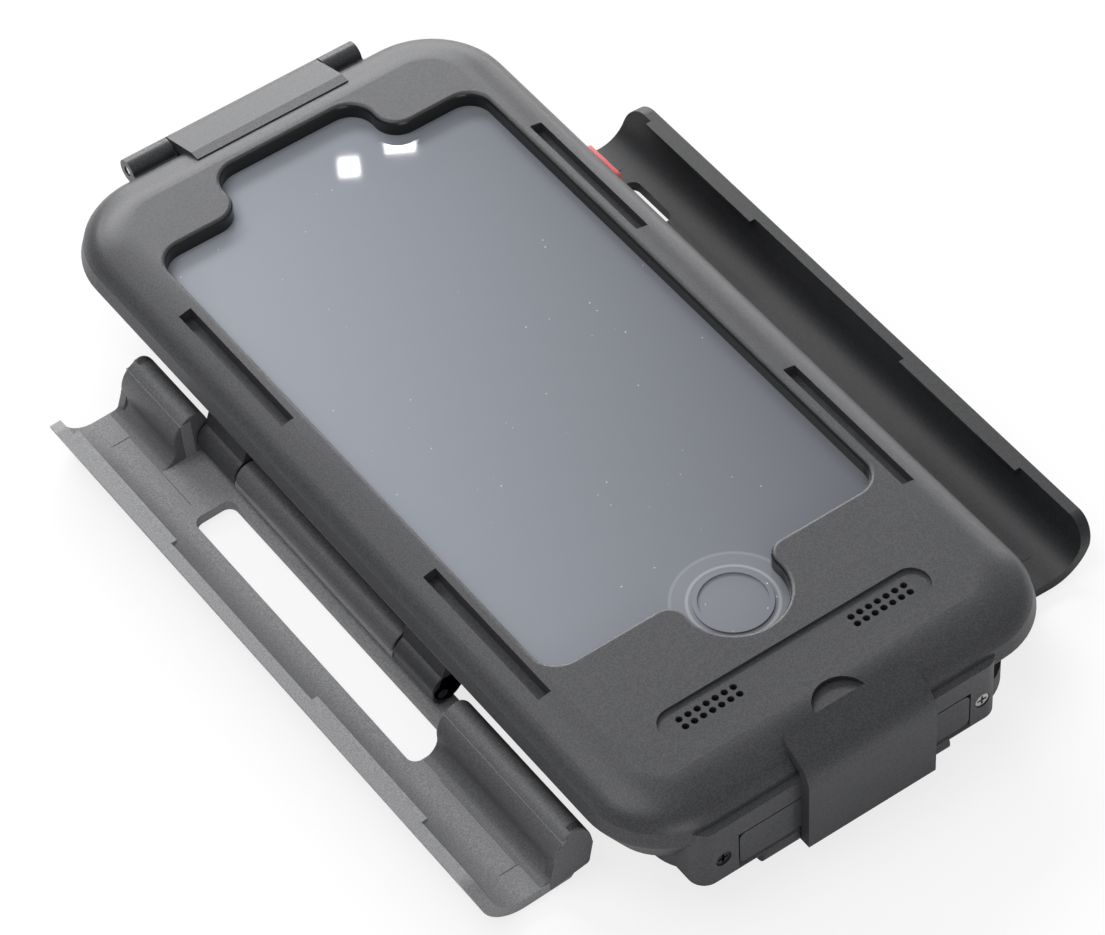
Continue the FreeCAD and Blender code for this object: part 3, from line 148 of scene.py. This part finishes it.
class Tree:
    """A material's node tree, built with one method for every node."""

    def __init__(self, name: str) -> None:
        """Start a material with its shader and output.

        Args:
            name: the material's name.
        """
        self.material = bpy.data.materials.new(name)
        self.material.use_nodes = True
        self.nodes = self.material.node_tree.nodes
        self.links = self.material.node_tree.links
        self.nodes.clear()
        self.output = self.nodes.new("ShaderNodeOutputMaterial")
        self.shader = self.nodes.new("ShaderNodeBsdfPrincipled")
        self.links.new(self.shader.outputs[0], self.output.inputs["Surface"])
        self.place = self.add("ShaderNodeTexCoord", {}, [], "Object")

    def add(self, kind: str, settings: dict, values: dict | list, out: int | str = 0) -> Sock:
        """Add a node of any type.

        Args:
            kind: the node's type.
            settings: attributes set before its sockets.
            values: a list by order or a dict by socket, of numbers, tuples or wrapped sockets.
            out: the name or the order of the output that is wanted.

        Returns:
            The wrapped output.
        """
        node = self.nodes.new(kind)
        for key, setting in settings.items():
            setattr(node, key, setting)
        pairs = values.items() if isinstance(values, dict) else enumerate(values)
        for key, value in pairs:
            if isinstance(value, Sock):
                self.links.new(value.socket, node.inputs[key])
            else:
                node.inputs[key].default_value = value
        return Sock(self, node.outputs[out])

    def noise(self, scale: float, detail: float, stretch: Triple = (1.0, 1.0, 1.0)) -> Sock:
        """Add noise over Object coordinates.

        Args:
            scale: cells in a metre.
            detail: octaves.
            stretch: scale of each axis.

        Returns:
            The wrapped noise value.
        """
        vector = self.place
        if stretch != (1.0, 1.0, 1.0):
            values = {"Vector": self.place, "Scale": stretch}
            vector = self.add("ShaderNodeMapping", {}, values)
        values = {"Vector": vector, "Scale": scale, "Detail": detail}
        return self.add("ShaderNodeTexNoise", {}, values, "Fac")

    def blend(self, factor: float | Sock, first: Colour | Sock, second: Colour | Sock) -> Sock:
        """Mix two colours.

        Args:
            factor: a number or a wrapped socket.
            first: the colour at nought.
            second: the colour at one.

        Returns:
            The wrapped colour.
        """
        # A Mix node's sockets for colours: the factor, both colours and the result.
        values = {0: factor, 6: first, 7: second}
        return self.add("ShaderNodeMix", {"data_type": "RGBA"}, values, 2)

    def feed(self, name: str, value: float | Colour | Sock) -> None:
        """Set or link one input of the main shader.

        Args:
            name: the input's name.
            value: a number, a colour or a wrapped socket.
        """
        if isinstance(value, Sock):
            self.links.new(value.socket, self.shader.inputs[name])
        else:
            self.shader.inputs[name].default_value = value

    def split(self) -> tuple[Sock, ...]:
        """Split the Object coordinates.

        Returns:
            The wrapped X, Y and Z.
        """
        return tuple(self.add("ShaderNodeSeparateXYZ", {}, [self.place], axis) for axis in "XYZ")

    def window_mask(self, inset: float, top_gap: float) -> Sock:
        """Mark the wall round the screen, under the cover's top face and inside the film's edge.

        Args:
            inset: how far inside the film's edge the mark starts, in metres.
            top_gap: how far under the cover's top face it ends, in metres.

        Returns:
            One on the wall and nought elsewhere, wrapped.
        """
        x, y, z = self.split()
        low, high = FILM_LOW + Vector((inset,) * 3), FILM_HIGH - Vector((inset,) * 3)
        inside = (x > low.x) * ((x * -1.0) > -high.x) * (y > low.y) * ((y * -1.0) > -high.y)
        return inside * ((z > FILM_LEVEL) * ((z * -1.0) > -(TOP_LEVEL - top_gap)))

    def show_to_camera(self, colour: Colour, share: float) -> None:
        """Show a share of a plain colour to the camera alone, over the main shader.

        Args:
            colour: the colour shown.
            share: how much of it is shown.
        """
        plain = self.add("ShaderNodeEmission", {}, {"Color": colour, "Strength": 1.0})
        seen = self.add("ShaderNodeLightPath", {}, {}, "Is Camera Ray") * share
        lit = Sock(self, self.shader.outputs[0])
        mixed = self.add("ShaderNodeMixShader", {}, {0: seen, 1: lit, 2: plain})
        self.links.new(mixed.socket, self.output.inputs["Surface"])

    def bump(self, height: Sock, strength: float, distance: float) -> None:
        """Feed the normal from a height.

        Args:
            height: the wrapped height.
            strength: the Bump node's strength.
            distance: the height's full depth in metres.
        """
        values = {"Strength": strength, "Distance": distance, "Height": height}
        self.feed("Normal", self.add("ShaderNodeBump", {}, values, "Normal"))


def grey(level: float) -> Colour:
    """Return a neutral colour.

    Args:
        level: its linear brightness.

    Returns:
        Red, green, blue and alpha.
    """
    return (level, level, level, 1.0)


@dataclass(frozen=True)
class MouldedPlastic:
    """Satin plastic with the fine spark grain of a moulding tool, in lengths of metres."""

    name: str = "case_plastic"
    dark: Colour = (0.030, 0.031, 0.035, 1.0)
    light: Colour = (0.058, 0.059, 0.065, 1.0)
    roughness: float = 0.40
    grain_scale: float = 3600.0
    grain_depth: float = 0.00003
    grain_strength: float = 0.4
    coarse_ratio: float = 0.6
    cloud_scale: float = 22.0
    cloud_shine: float = 0.06
    speckle_start: float = 0.42
    speckle_gain: float = 6.0
    speckle_share: float = 0.8
    wall_inset: float = 0.8 * MM
    wall_top_gap: float = 0.25 * MM
    wall_level: float = 0.006
    wall_roughness: float = 0.16

    def make(self) -> bpy.types.Material:
        """Build the material, darker and glossier on the wall round the screen.

        Returns:
            The finished material.
        """
        tree = Tree(self.name)
        cloud = tree.noise(self.cloud_scale, 2.0)
        fine = tree.noise(self.grain_scale, 1.0)
        coarse = tree.noise(self.grain_scale * self.coarse_ratio, 1.0)
        speckle = ((fine - self.speckle_start) * self.speckle_gain).clamped()
        mottle = speckle * self.speckle_share + cloud * (1.0 - self.speckle_share)
        wall = tree.window_mask(self.wall_inset, self.wall_top_gap)
        plain = tree.blend(mottle, self.dark, self.light)
        tree.feed("Base Color", tree.blend(wall, plain, grey(self.wall_level)))
        satin = (self.roughness - 0.5 * self.cloud_shine) + self.cloud_shine * cloud
        tree.feed("Roughness", satin * (1.0 - wall) + wall * self.wall_roughness)
        tree.feed("Specular IOR Level", 0.5)
        height = (fine * 0.5 + coarse * 0.5) * (1.0 - wall)
        tree.bump(height, self.grain_strength, self.grain_depth)
        return tree.material


@dataclass(frozen=True)
class ScreenFilm:
    """The glossy clear film over a dark screen, with a painted reflection going from lighter at the
    hinge end to darker at the port end, painted highlights on the home ring's edges, a paler disc
    and a few dust specks.
    """

    name: str = "clear_film"
    # Painted reflection: the film's colour at the hinge end, lighter, and at the port end, darker,
    # standing in for the room mirrored in its gloss.
    hinge_end_painted_reflection: Colour = (0.340, 0.360, 0.406, 1.0)
    port_end_painted_reflection: Colour = (0.155, 0.164, 0.186, 1.0)
    # The pale colour of the painted highlights on the home ring's edges, of the paler disc and of
    # the dust specks.
    pale: Colour = (0.55, 0.56, 0.57, 1.0)
    reflection_fade_start: float = 0.45
    reflection_fade_across: float = 10.7
    reflection_fade_along: float = 3.9
    reflection_fade_noise_scale: float = 9.0
    reflection_fade_noise_share: float = 0.1
    disc_radius: float = 10.1 * MM
    disc_share: float = 0.07
    # Shares of painted highlight on the disc's edge and on the home ring's edge.
    rim_highlight_share: float = 0.22
    ring_radius: float = 7.4 * MM
    ring_highlight_share: float = 0.4
    line_reach: float = 0.35 * MM
    dot_scale: float = 420.0
    dot_radius: float = 0.07
    dot_gain: float = 60.0
    dust_scale: float = 170.0
    dust_start: float = 0.56
    dust_gain: float = 12.0
    gloss: float = 0.02
    dust_roughness: float = 0.5

    def painted_highlight_circle(self, out: Sock, radius: float) -> Sock:
        """Mark a soft thin circle of painted highlight round the home ring's middle.

        Args:
            out: the wrapped distance from that middle.
            radius: the circle's radius in metres.

        Returns:
            One on the circle, falling to nought beside it, wrapped.
        """
        return (1.0 - ((out - radius) * (1.0 / self.line_reach)) ** 2.0).clamped()

    def dust(self, tree: Tree) -> Sock:
        """Mark a few dust specks.

        Args:
            tree: the film's node tree.

        Returns:
            One on a speck and nought elsewhere, wrapped.
        """
        values = {"Vector": tree.place, "Scale": self.dot_scale}
        far = tree.add("ShaderNodeTexVoronoi", {}, values, "Distance")
        dots = ((self.dot_radius - far) * self.dot_gain).clamped()
        rare = tree.noise(self.dust_scale, 0.0)
        return dots * ((rare - self.dust_start) * self.dust_gain).clamped()

    def make(self) -> bpy.types.Material:
        """Build the material.

        Returns:
            The finished material.
        """
        tree = Tree(self.name)
        x, y, _ = tree.split()
        # Painted reflection: the base colour goes across the film from the lighter hinge end to the
        # darker port end, with a little noise.
        cloud = tree.noise(self.reflection_fade_noise_scale, 1.0) * self.reflection_fade_noise_share
        reflection_fade = (x * self.reflection_fade_across - y * self.reflection_fade_along + self.reflection_fade_start + cloud).clamped()
        base = tree.blend(reflection_fade, self.hinge_end_painted_reflection, self.port_end_painted_reflection)
        out = (x * x + (y - HOME_PLACE) * (y - HOME_PLACE)) ** 0.5
        disc = ((self.disc_radius - out) * (1.0 / self.line_reach)).clamped()
        # Painted highlights: bright thin lines on the disc's edge and on the home ring's edge,
        # standing in for light caught by those edges.
        rim_highlight = self.painted_highlight_circle(out, self.disc_radius)
        ring = self.painted_highlight_circle(out, self.ring_radius)
        highlight_and_disc_paleness = rim_highlight * self.rim_highlight_share + disc * self.disc_share + ring * self.ring_highlight_share
        specks = self.dust(tree)
        with_ring_highlights = tree.blend(highlight_and_disc_paleness, base, self.pale)
        tree.feed("Base Color", tree.blend(specks, with_ring_highlights, self.pale))
        tree.feed("Roughness", self.gloss + self.dust_roughness * specks)
        tree.feed("Specular IOR Level", 0.5)
        return tree.material


@dataclass(frozen=True)
class PlainFinish:
    """A finish of one colour with slight clouding and a grain."""

    name: str
    colour: Colour
    roughness: float
    grain: Grain = Grain.SOFT
    metallic: float = 0.0
    cloud_scale: float = 140.0
    cloud_shade: float = 0.8
    lowest_roughness: float = 0.85
    roughness_swing: float = 0.3

    def make(self) -> bpy.types.Material:
        """Build the material.

        Returns:
            The finished material.
        """
        tree = Tree(self.name)
        cloud = tree.noise(self.cloud_scale, 3.0)
        shade = tuple(self.cloud_shade * part for part in self.colour[:3]) + (1.0,)
        tree.feed("Base Color", tree.blend(cloud, shade, self.colour))
        swing = cloud * (self.roughness * self.roughness_swing)
        tree.feed("Roughness", self.roughness * self.lowest_roughness + swing)
        tree.feed("Metallic", self.metallic)
        if self.grain is not Grain.POLISHED:
            scale, detail, stretch, strength, depth = self.grain.value
            tree.bump(tree.noise(scale, detail, stretch), strength, depth)
        return tree.material


@dataclass(frozen=True)
class LensGlass:
    """The rear camera's flat glass."""

    name: str = "camera_glass"
    deep: Colour = (0.86, 0.9, 0.92, 1.0)
    clear: Colour = (0.92, 0.95, 0.96, 1.0)
    cloud_scale: float = 90.0
    gloss: float = 0.03
    transmission: float = 0.9
    refraction: float = 1.5

    def make(self) -> bpy.types.Material:
        """Build the material.

        Returns:
            The finished material.
        """
        tree = Tree(self.name)
        cloud = tree.noise(self.cloud_scale, 2.0)
        tree.feed("Base Color", tree.blend(cloud, self.deep, self.clear))
        tree.feed("Roughness", self.gloss + self.gloss * cloud)
        tree.feed("Transmission Weight", self.transmission)
        tree.feed("IOR", self.refraction)
        return tree.material


@dataclass(frozen=True)
class Lamp:
    """A soft rectangular lamp: its place, its size and the point it faces, in metres and watts."""

    name: str
    place: Triple
    size: Pair
    power: float
    target: Triple = (0.0, 0.0, 0.0)

    def hang(self) -> None:
        """Hang the lamp, unseen by the camera."""
        data = bpy.data.lights.new(self.name, "AREA")
        data.shape = "RECTANGLE"
        data.size, data.size_y = self.size
        data.energy = self.power
        lamp = bpy.data.objects.new(self.name, data)
        lamp.visible_camera = False
        place = Vector(self.place)
        turn = (Vector(self.target) - place).to_track_quat("-Z", "Y").to_matrix().to_4x4()
        lamp.matrix_world = Matrix.Translation(place) @ turn
        bpy.context.scene.collection.objects.link(lamp)


@dataclass(frozen=True)
class Studio:
    """The floor, the light and the camera, in metres, pixels and degrees as solved."""

    azimuth: float = -33.333
    elevation: float = 48.784
    roll: float = -3.257
    focal_length: float = 163.4
    sensor_width: float = 36.0
    position: Triple = (-0.2985, -0.4579, 0.62784)
    nearest: float = 0.01
    photo_size: Pair = (1105.0, 935.0)
    floor_half: float = 1.5
    floor_dim: Colour = (0.955, 0.953, 0.948, 1.0)
    floor_bright: Colour = (0.97, 0.969, 0.966, 1.0)
    floor_glow: float = 0.78
    sphere_light: float = 0.36
    glint_distance: float = 1.5
    glint_radiance: float = 34.0
    lamps: tuple[Lamp, ...] = (
        Lamp("window", (0.3, 1.17, 0.8), (1.2, 0.32), 15.5),
        Lamp("overhead", (-0.5, 0.3, 1.3), (0.9, 0.9), 7.0),
        Lamp("low_window", (0.85, 1.1, 0.24), (1.5, 0.3), 8.0),
        Lamp("front", (-0.3, -1.25, 0.45), (0.8, 0.5), 3.0),
    )
    # Reflections in the film: name, place in photo pixels and the lamp's size in metres.
    glints: tuple[tuple[str, Pair, Pair], ...] = (
        ("round_glint", (349.0, 167.0), (0.0098, 0.0088)),
        ("long_glint", (400.0, 144.0), (0.0145, 0.0080)),
    )

    def make_floor(self) -> bpy.types.Object:
        """Lay a plain pale floor under the open latches.

        Returns:
            The floor's object.
        """
        mesh = bpy.data.meshes.new("floor")
        half = self.floor_half
        corners = [(-half, -half, 0), (half, -half, 0), (half, half, 0), (-half, half, 0)]
        mesh.from_pydata(corners, [], [(0, 1, 2, 3)])
        floor = bpy.data.objects.new("floor", mesh)
        bpy.context.scene.collection.objects.link(floor)
        tree = Tree("floor_paper")
        tree.feed("Base Color", tree.blend(tree.noise(3.0, 2.0), self.floor_dim, self.floor_bright))
        tree.feed("Roughness", 0.9)
        tree.feed("Specular IOR Level", 0.1)
        tree.show_to_camera(WHITE, self.floor_glow)
        mesh.materials.append(tree.material)
        return floor

    def make_world(self) -> None:
        """Light the scene evenly and show white behind the floor."""
        world = bpy.data.worlds.new("studio")
        bpy.context.scene.world = world
        world.use_nodes = True
        nodes, links = world.node_tree.nodes, world.node_tree.links
        nodes.clear()
        out = nodes.new("ShaderNodeOutputWorld")
        mix = nodes.new("ShaderNodeMixShader")
        path = nodes.new("ShaderNodeLightPath")
        links.new(path.outputs["Is Camera Ray"], mix.inputs[0])
        for socket, strength in ((1, self.sphere_light), (2, 1.0)):
            shell = nodes.new("ShaderNodeBackground")
            shell.inputs["Color"].default_value = WHITE
            shell.inputs["Strength"].default_value = strength
            links.new(shell.outputs[0], mix.inputs[socket])
        links.new(mix.outputs[0], out.inputs["Surface"])

    def axes(self) -> tuple[Vector, Vector, Vector]:
        """Work out the camera's axes from its azimuth, elevation and roll.

        Returns:
            The unit vectors to the right, upwards and back from the lens.
        """
        azimuth, elevation, roll = map(math.radians, (self.azimuth, self.elevation, self.roll))
        away = Vector((math.sin(azimuth), -math.cos(azimuth), 0.0))
        back = away * math.cos(elevation) + Vector((0.0, 0.0, math.sin(elevation)))
        level_right = Vector((math.cos(azimuth), math.sin(azimuth), 0.0))
        level_up = back.cross(level_right)
        right = level_right * math.cos(roll) + level_up * math.sin(roll)
        up = level_up * math.cos(roll) - level_right * math.sin(roll)
        return right, up, back

    def glint(self, name: str, spot: Pair, size: Pair) -> Lamp:
        """Place a small lamp where the film mirrors it at a place in the photograph.

        Args:
            name: the lamp's name.
            spot: the reflection's place in photo pixels.
            size: the lamp's width and height in metres.

        Returns:
            The lamp.
        """
        right, up, back = self.axes()
        half_width, half_height = (0.5 * side for side in self.photo_size)
        pixels = self.focal_length / self.sensor_width * self.photo_size[0]
        across, rise = (spot[0] - half_width) / pixels, (half_height - spot[1]) / pixels
        ray = (right * across + up * rise - back).normalized()
        lens = Vector(self.position)
        meet = lens + ray * ((FILM_LEVEL - lens.z) / ray.z)
        mirrored = Vector((ray.x, ray.y, -ray.z))
        power = self.glint_radiance * math.pi * size[0] * size[1]
        return Lamp(name, tuple(meet + mirrored * self.glint_distance), size, power, tuple(meet))

    def make_camera(self) -> None:
        """Set the camera as solved from the photograph."""
        data = bpy.data.cameras.new("camera")
        data.sensor_width = self.sensor_width
        data.lens = self.focal_length
        data.clip_start = self.nearest
        camera = bpy.data.objects.new("camera", data)
        turn = Matrix(self.axes()).transposed().to_4x4()
        camera.matrix_world = Matrix.Translation(Vector(self.position)) @ turn
        bpy.context.scene.collection.objects.link(camera)
        bpy.context.scene.camera = camera

    def build(self) -> None:
        """Make the whole studio."""
        self.make_floor()
        self.make_world()
        for lamp in self.lamps:
            lamp.hang()
        for glint in self.glints:
            self.glint(*glint).hang()
        self.make_camera()
        bpy.context.scene.view_settings.view_transform = "Standard"


def rounded(corners: Outline, radii: list[float], steps: int = 6) -> Outline:
    """Round the corners of a flat outline.

    Args:
        corners: points in order, each a pair.
        radii: a radius for each corner, nought to keep it sharp.
        steps: lines in each arc.

    Returns:
        The points of the rounded outline.
    """
    points = []
    count = len(corners)
    for index, (corner, radius) in enumerate(zip(corners, radii)):
        here = Vector(corner)
        if not radius:
            points.append(tuple(here))
            continue
        before = (Vector(corners[index - 1]) - here).normalized()
        after = (Vector(corners[(index + 1) % count]) - here).normalized()
        half = 0.5 * before.angle(after)
        centre = here + (before + after).normalized() * (radius / math.sin(half))
        start = here + before * (radius / math.tan(half)) - centre
        end = here + after * (radius / math.tan(half)) - centre
        arms = (start.slerp(end, step / steps) for step in range(steps + 1))
        points.extend(tuple(centre + arm) for arm in arms)
    return points


def circle_points(x: float, z: float, radius: float, steps: int = 32) -> Outline:
    """Work out the points of a circle.

    Args:
        x: its middle's first place.
        z: its middle's second place.
        radius: its radius.
        steps: how many points it has.

    Returns:
        The points in order.
    """
    turns = (2.0 * math.pi * step / steps for step in range(steps))
    return [(x + radius * math.cos(turn), z + radius * math.sin(turn)) for turn in turns]


def quarter(steps: int) -> list[float]:
    """Divide a quarter turn evenly.

    Args:
        steps: how many parts.

    Returns:
        The angles in radians, both ends included.
    """
    return [0.5 * math.pi * step / steps for step in range(steps + 1)]


def square(low_x: float, low_z: float, high_x: float, high_z: float) -> Outline:
    """Work out the corners of an upright rectangle.

    Args:
        low_x: its lower first place.
        low_z: its lower second place.
        high_x: its higher first place.
        high_z: its higher second place.

    Returns:
        The corners in order.
    """
    return [(low_x, low_z), (high_x, low_z), (high_x, high_z), (low_x, high_z)]


@dataclass(frozen=True)
class Bar:
    """A moulded bar along Y: its flat outline, its ends and its softened edges, in millimetres."""

    name: str
    outline: Outline
    start: float
    end: float
    on_latch: bool = True
    bevel: float = 0.25

    def make_mesh(self, place: Matrix) -> bpy.types.Mesh:
        """Draw the outline out between the ends.

        Args:
            place: where the bar goes, in millimetres.

        Returns:
            The mesh, smooth but for its creases.
        """
        crease = math.radians(32.0)
        mesh = bmesh.new()
        low = [mesh.verts.new((x, self.start, z)) for x, z in self.outline]
        high = [mesh.verts.new((x, self.end, z)) for x, z in self.outline]
        mesh.faces.new(low)
        mesh.faces.new(list(reversed(high)))
        count = len(self.outline)
        for index in range(count):
            following = (index + 1) % count
            mesh.faces.new((low[following], low[index], high[index], high[following]))
        bmesh.ops.transform(mesh, matrix=Matrix.Scale(MM, 4) @ place, verts=mesh.verts)
        bmesh.ops.recalc_face_normals(mesh, faces=mesh.faces)
        data = bpy.data.meshes.new(self.name)
        mesh.to_mesh(data)
        mesh.free()
        for polygon in data.polygons:
            polygon.use_smooth = True
        data.set_sharp_from_angle(angle=crease)
        return data

    def build(self, place: Matrix, body: str, material: bpy.types.Material) -> bpy.types.Object:
        """Build the bar with softened edges.

        Args:
            place: where it goes, in millimetres.
            body: the body that it rides on.
            material: its finish.

        Returns:
            The bar's object.
        """
        data = self.make_mesh(place)
        data.materials.append(material)
        piece = bpy.data.objects.new(self.name, data)
        bpy.context.scene.collection.objects.link(piece)
        if self.bevel:
            soften = piece.modifiers.new("edges", "BEVEL")
            soften.width = self.bevel * MM
            soften.segments = 2
            soften.limit_method = "ANGLE"
            soften.angle_limit = math.radians(40.0)
            soften.harden_normals = True
        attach(piece, body)
        return piece


@dataclass(frozen=True)
class PowerButton:
    """The red cap of the power button, barely proud of the case's side, in millimetres."""

    reach: float = 33.6
    half_length: float = 4.95
    half_height: float = 1.3
    corner_radius: float = 1.1
    level: float = 15.84
    inner: float = 35.7
    outer: float = 43.8
    bevel: float = 0.3

    def build(self, material: bpy.types.Material) -> None:
        """Make the cap in place of the plain button.

        Args:
            material: the red plastic.
        """
        corners = square(-self.half_length, -self.half_height, self.half_length, self.half_height)
        outline = rounded(corners, [self.corner_radius] * 4)
        sideways = Matrix.Rotation(-0.5 * math.pi, 4, "Z")
        place = Matrix.Translation((0.0, self.reach + ROW_SHIFT, self.level)) @ sideways
        bar = Bar("button_cap", outline, self.inner, self.outer, bevel=self.bevel)
        cap = bar.build(place, "button", material)
        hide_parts("power_button")
        LOG.info("made %s", cap.name)


@dataclass(frozen=True)
class LatchTrim:
    """The rolled wall, the end gussets and the fuller barrels of the side latches, in millimetres.

    Outlines are pairs about a latch's axis with the latch shut: outwards, then up.
    """

    axis_offset: float = 40.4
    axis_level: float = 4.84
    open_angle: float = 93.0
    barrel_radius: float = 2.9
    barrel_shift: float = -1.0
    crown_base: float = -1.5
    crown_rise: float = 5.3
    crown_middle: float = 1.6
    crown_inner: float = 2.8
    crown_outer: float = 4.5
    hollow_x: float = -1.0
    hollow_radius: float = 3.2
    wall_outer: float = 4.1
    wall_low: float = -1.2
    wall_high: float = 9.3
    wall_corner: float = 1.8
    line_bevel: float = 0.0

    def crown(self) -> Outline:
        """Work out the rounded top of a roll, from its inner foot over to its outer foot.

        Returns:
            The points of the outline.
        """
        base, rise, middle = self.crown_base, self.crown_rise, self.crown_middle
        inner = [(base - rise * math.sin(turn), middle - self.crown_inner * math.cos(turn))
                 for turn in quarter(8)]
        outer = [(base - rise * math.cos(turn), middle + self.crown_outer * math.sin(turn))
                 for turn in quarter(8)]
        return inner + outer[1:]

    def foot(self) -> Outline:
        """Work out the back of the latch's wall, from the crown's foot round to the floor's end.

        Returns:
            The points of the outline.
        """
        corners = [(self.crown_base, self.wall_low), (self.wall_outer, self.wall_low),
                   (self.wall_outer, self.wall_high)]
        return rounded(corners, [0.0, self.wall_corner, 0.0])

    def roll(self) -> Outline:
        """Work out the outline of a roll: crown, hollow and foot.

        Returns:
            The points of the outline.
        """
        hollow = [(self.hollow_x + self.hollow_radius * math.sin(turn),
                   self.wall_high - self.hollow_radius * math.cos(turn)) for turn in quarter(6)]
        return self.crown() + hollow + list(reversed(self.foot()))

    def gusset(self) -> Outline:
        """Work out the outline of a gusset: half the crown, a slant down to the floor and the foot.

        Returns:
            The points of the outline.
        """
        crown = self.crown()
        corners = [(-6.6, 2.6), (-4.9, 5.2), (-1.6, 7.2), (2.2, 7.5), (self.wall_outer, 7.5)]
        slant = rounded(corners, [0.0, 1.5, 2.0, 0.0, 0.0])
        return crown[:len(crown) // 2 + 2] + slant + list(reversed(self.foot()[:-1]))

    def bars(self) -> list[Bar]:
        """List the bars of one latch.

        Returns:
            The bars of the roll, the insert's lines, the gussets, the barrel and the knuckles.
        """
        roll, gusset, bevel = self.roll(), self.gusset(), self.line_bevel
        line, line_end = square(2.14, 9.2, 2.4, 9.32), square(2.14, 9.2, 2.4, 15.4)
        shift = self.barrel_shift
        barrel = circle_points(shift, shift, self.barrel_radius)
        knuckle = circle_points(shift, -shift, self.barrel_radius)
        return [
            Bar("roll_upper", roll, 31.95, 48.4),
            Bar("roll_lower", roll, -75.9, -44.05),
            Bar("insert_line_upper", line, 23.0, 42.0, bevel=bevel),
            Bar("insert_end_upper", line_end, 41.9, 42.02, bevel=bevel),
            Bar("insert_line_lower", line, -70.0, -49.0, bevel=bevel),
            Bar("insert_end_lower", line_end, -70.02, -69.9, bevel=bevel),
            Bar("gusset_upper", gusset, 46.7, 48.6),
            Bar("gusset_lower", gusset, -76.1, -74.2),
            Bar("barrel", barrel, -25.6, 19.9),
            Bar("knuckle_upper", knuckle, 20.3, 31.6, on_latch=False),
            Bar("knuckle_lower", knuckle, -37.0, -26.0, on_latch=False),
        ]

    def make_bar(self, bar: Bar, side: int, material: bpy.types.Material) -> bpy.types.Object:
        """Build one bar in its place at rest.

        Args:
            bar: the bar's outline and ends.
            side: minus one on the left and one on the right.
            material: its finish.

        Returns:
            The bar's object, riding on its body.
        """
        side_name = "left" if side < 0 else "right"
        opened = Matrix.Rotation(math.radians(self.open_angle * side), 4, "Y")
        axis = Matrix.Translation((side * self.axis_offset, ROW_SHIFT, self.axis_level))
        outline = [(side * x, z) for x, z in bar.outline]
        mirrored = Bar(f"{side_name}_{bar.name}", outline, bar.start, bar.end, bevel=bar.bevel)
        if bar.on_latch:
            return mirrored.build(axis @ opened, f"{side_name}_latch_arm", material)
        return mirrored.build(axis, "case", material)

    def build(self, latch_finish: dict[int, bpy.types.Material],
              case_finish: bpy.types.Material) -> None:
        """Make both sides' trim.

        Args:
            latch_finish: each side's latch material, a copy of the plastic with painted light on
                the left and painted shade on the right.
            case_finish: the case's plastic.
        """
        for side, finish in latch_finish.items():
            for bar in self.bars():
                piece = self.make_bar(bar, side, finish if bar.on_latch else case_finish)
                LOG.info("made %s", piece.name)


def dress(node: str, material: bpy.types.Material) -> None:
    """Give a CAD node's object one material.

    Args:
        node: the node's name.
        material: the material for all its faces.
    """
    data = frame["nodes"][node].data
    data.materials.clear()
    data.materials.append(material)


def make_finishes() -> dict[str, bpy.types.Material]:
    """Make the finish of each material slot of the record.

    Returns:
        The materials by slot.
    """
    kinds = [
        MouldedPlastic(),
        ScreenFilm(),
        PlainFinish("seal_rubber", grey(0.018), 0.65),
        PlainFinish("sound_film", grey(0.012), 0.8),
        LensGlass(),
        PlainFinish("cushion_foam", grey(0.03), 0.85),
        PlainFinish("pin_steel", grey(0.62), 0.22, Grain.DRAWN, 1.0),
        PlainFinish("button_plastic", (0.78, 0.075, 0.075, 1.0), 0.4, Grain.POLISHED),
    ]
    return {kind.name: kind.make() for kind in kinds}


def main() -> None:
    """Build every piece in order and report it."""
    logging.basicConfig(level=logging.INFO)
    Studio().build()
    finishes = make_finishes()
    # Painted light and shade: the left latch and its trim are lit copies of the case plastic,
    # lighter than it, and the right latch and its trim a shaded copy, darker, for how the light
    # falls on each side.
    left_latch = MouldedPlastic(
        "left_latch_painted_light", (0.175, 0.176, 0.184, 1.0), (0.280, 0.281, 0.292, 1.0),
        0.46, grain_scale=4200.0, grain_depth=0.00004, grain_strength=0.6).make()
    left_roll_lit_copy = MouldedPlastic(
        "left_roll_painted_light", (0.080, 0.081, 0.086, 1.0), (0.135, 0.136, 0.143, 1.0), 0.42).make()
    right_latch = MouldedPlastic(
        "right_latch_painted_shade", (0.009, 0.0095, 0.011, 1.0), (0.021, 0.022, 0.025, 1.0), 0.5).make()
    for part in frame["record"]["subparts"]:
        dress(part["node"], finishes[part["material_slot"]])
        LOG.info("dressed %s", part["node"])
    dress("left_latch", left_latch)
    dress("right_latch", right_latch)
    dress("left_screw", PlainFinish("screw_shadow", grey(0.02), 0.4, Grain.DRAWN, 0.6).make())
    PowerButton().build(finishes["button_plastic"])
    LatchTrim().build({-1: left_roll_lit_copy, 1: right_latch}, finishes["case_plastic"])


if __name__ == "__main__":
    main()
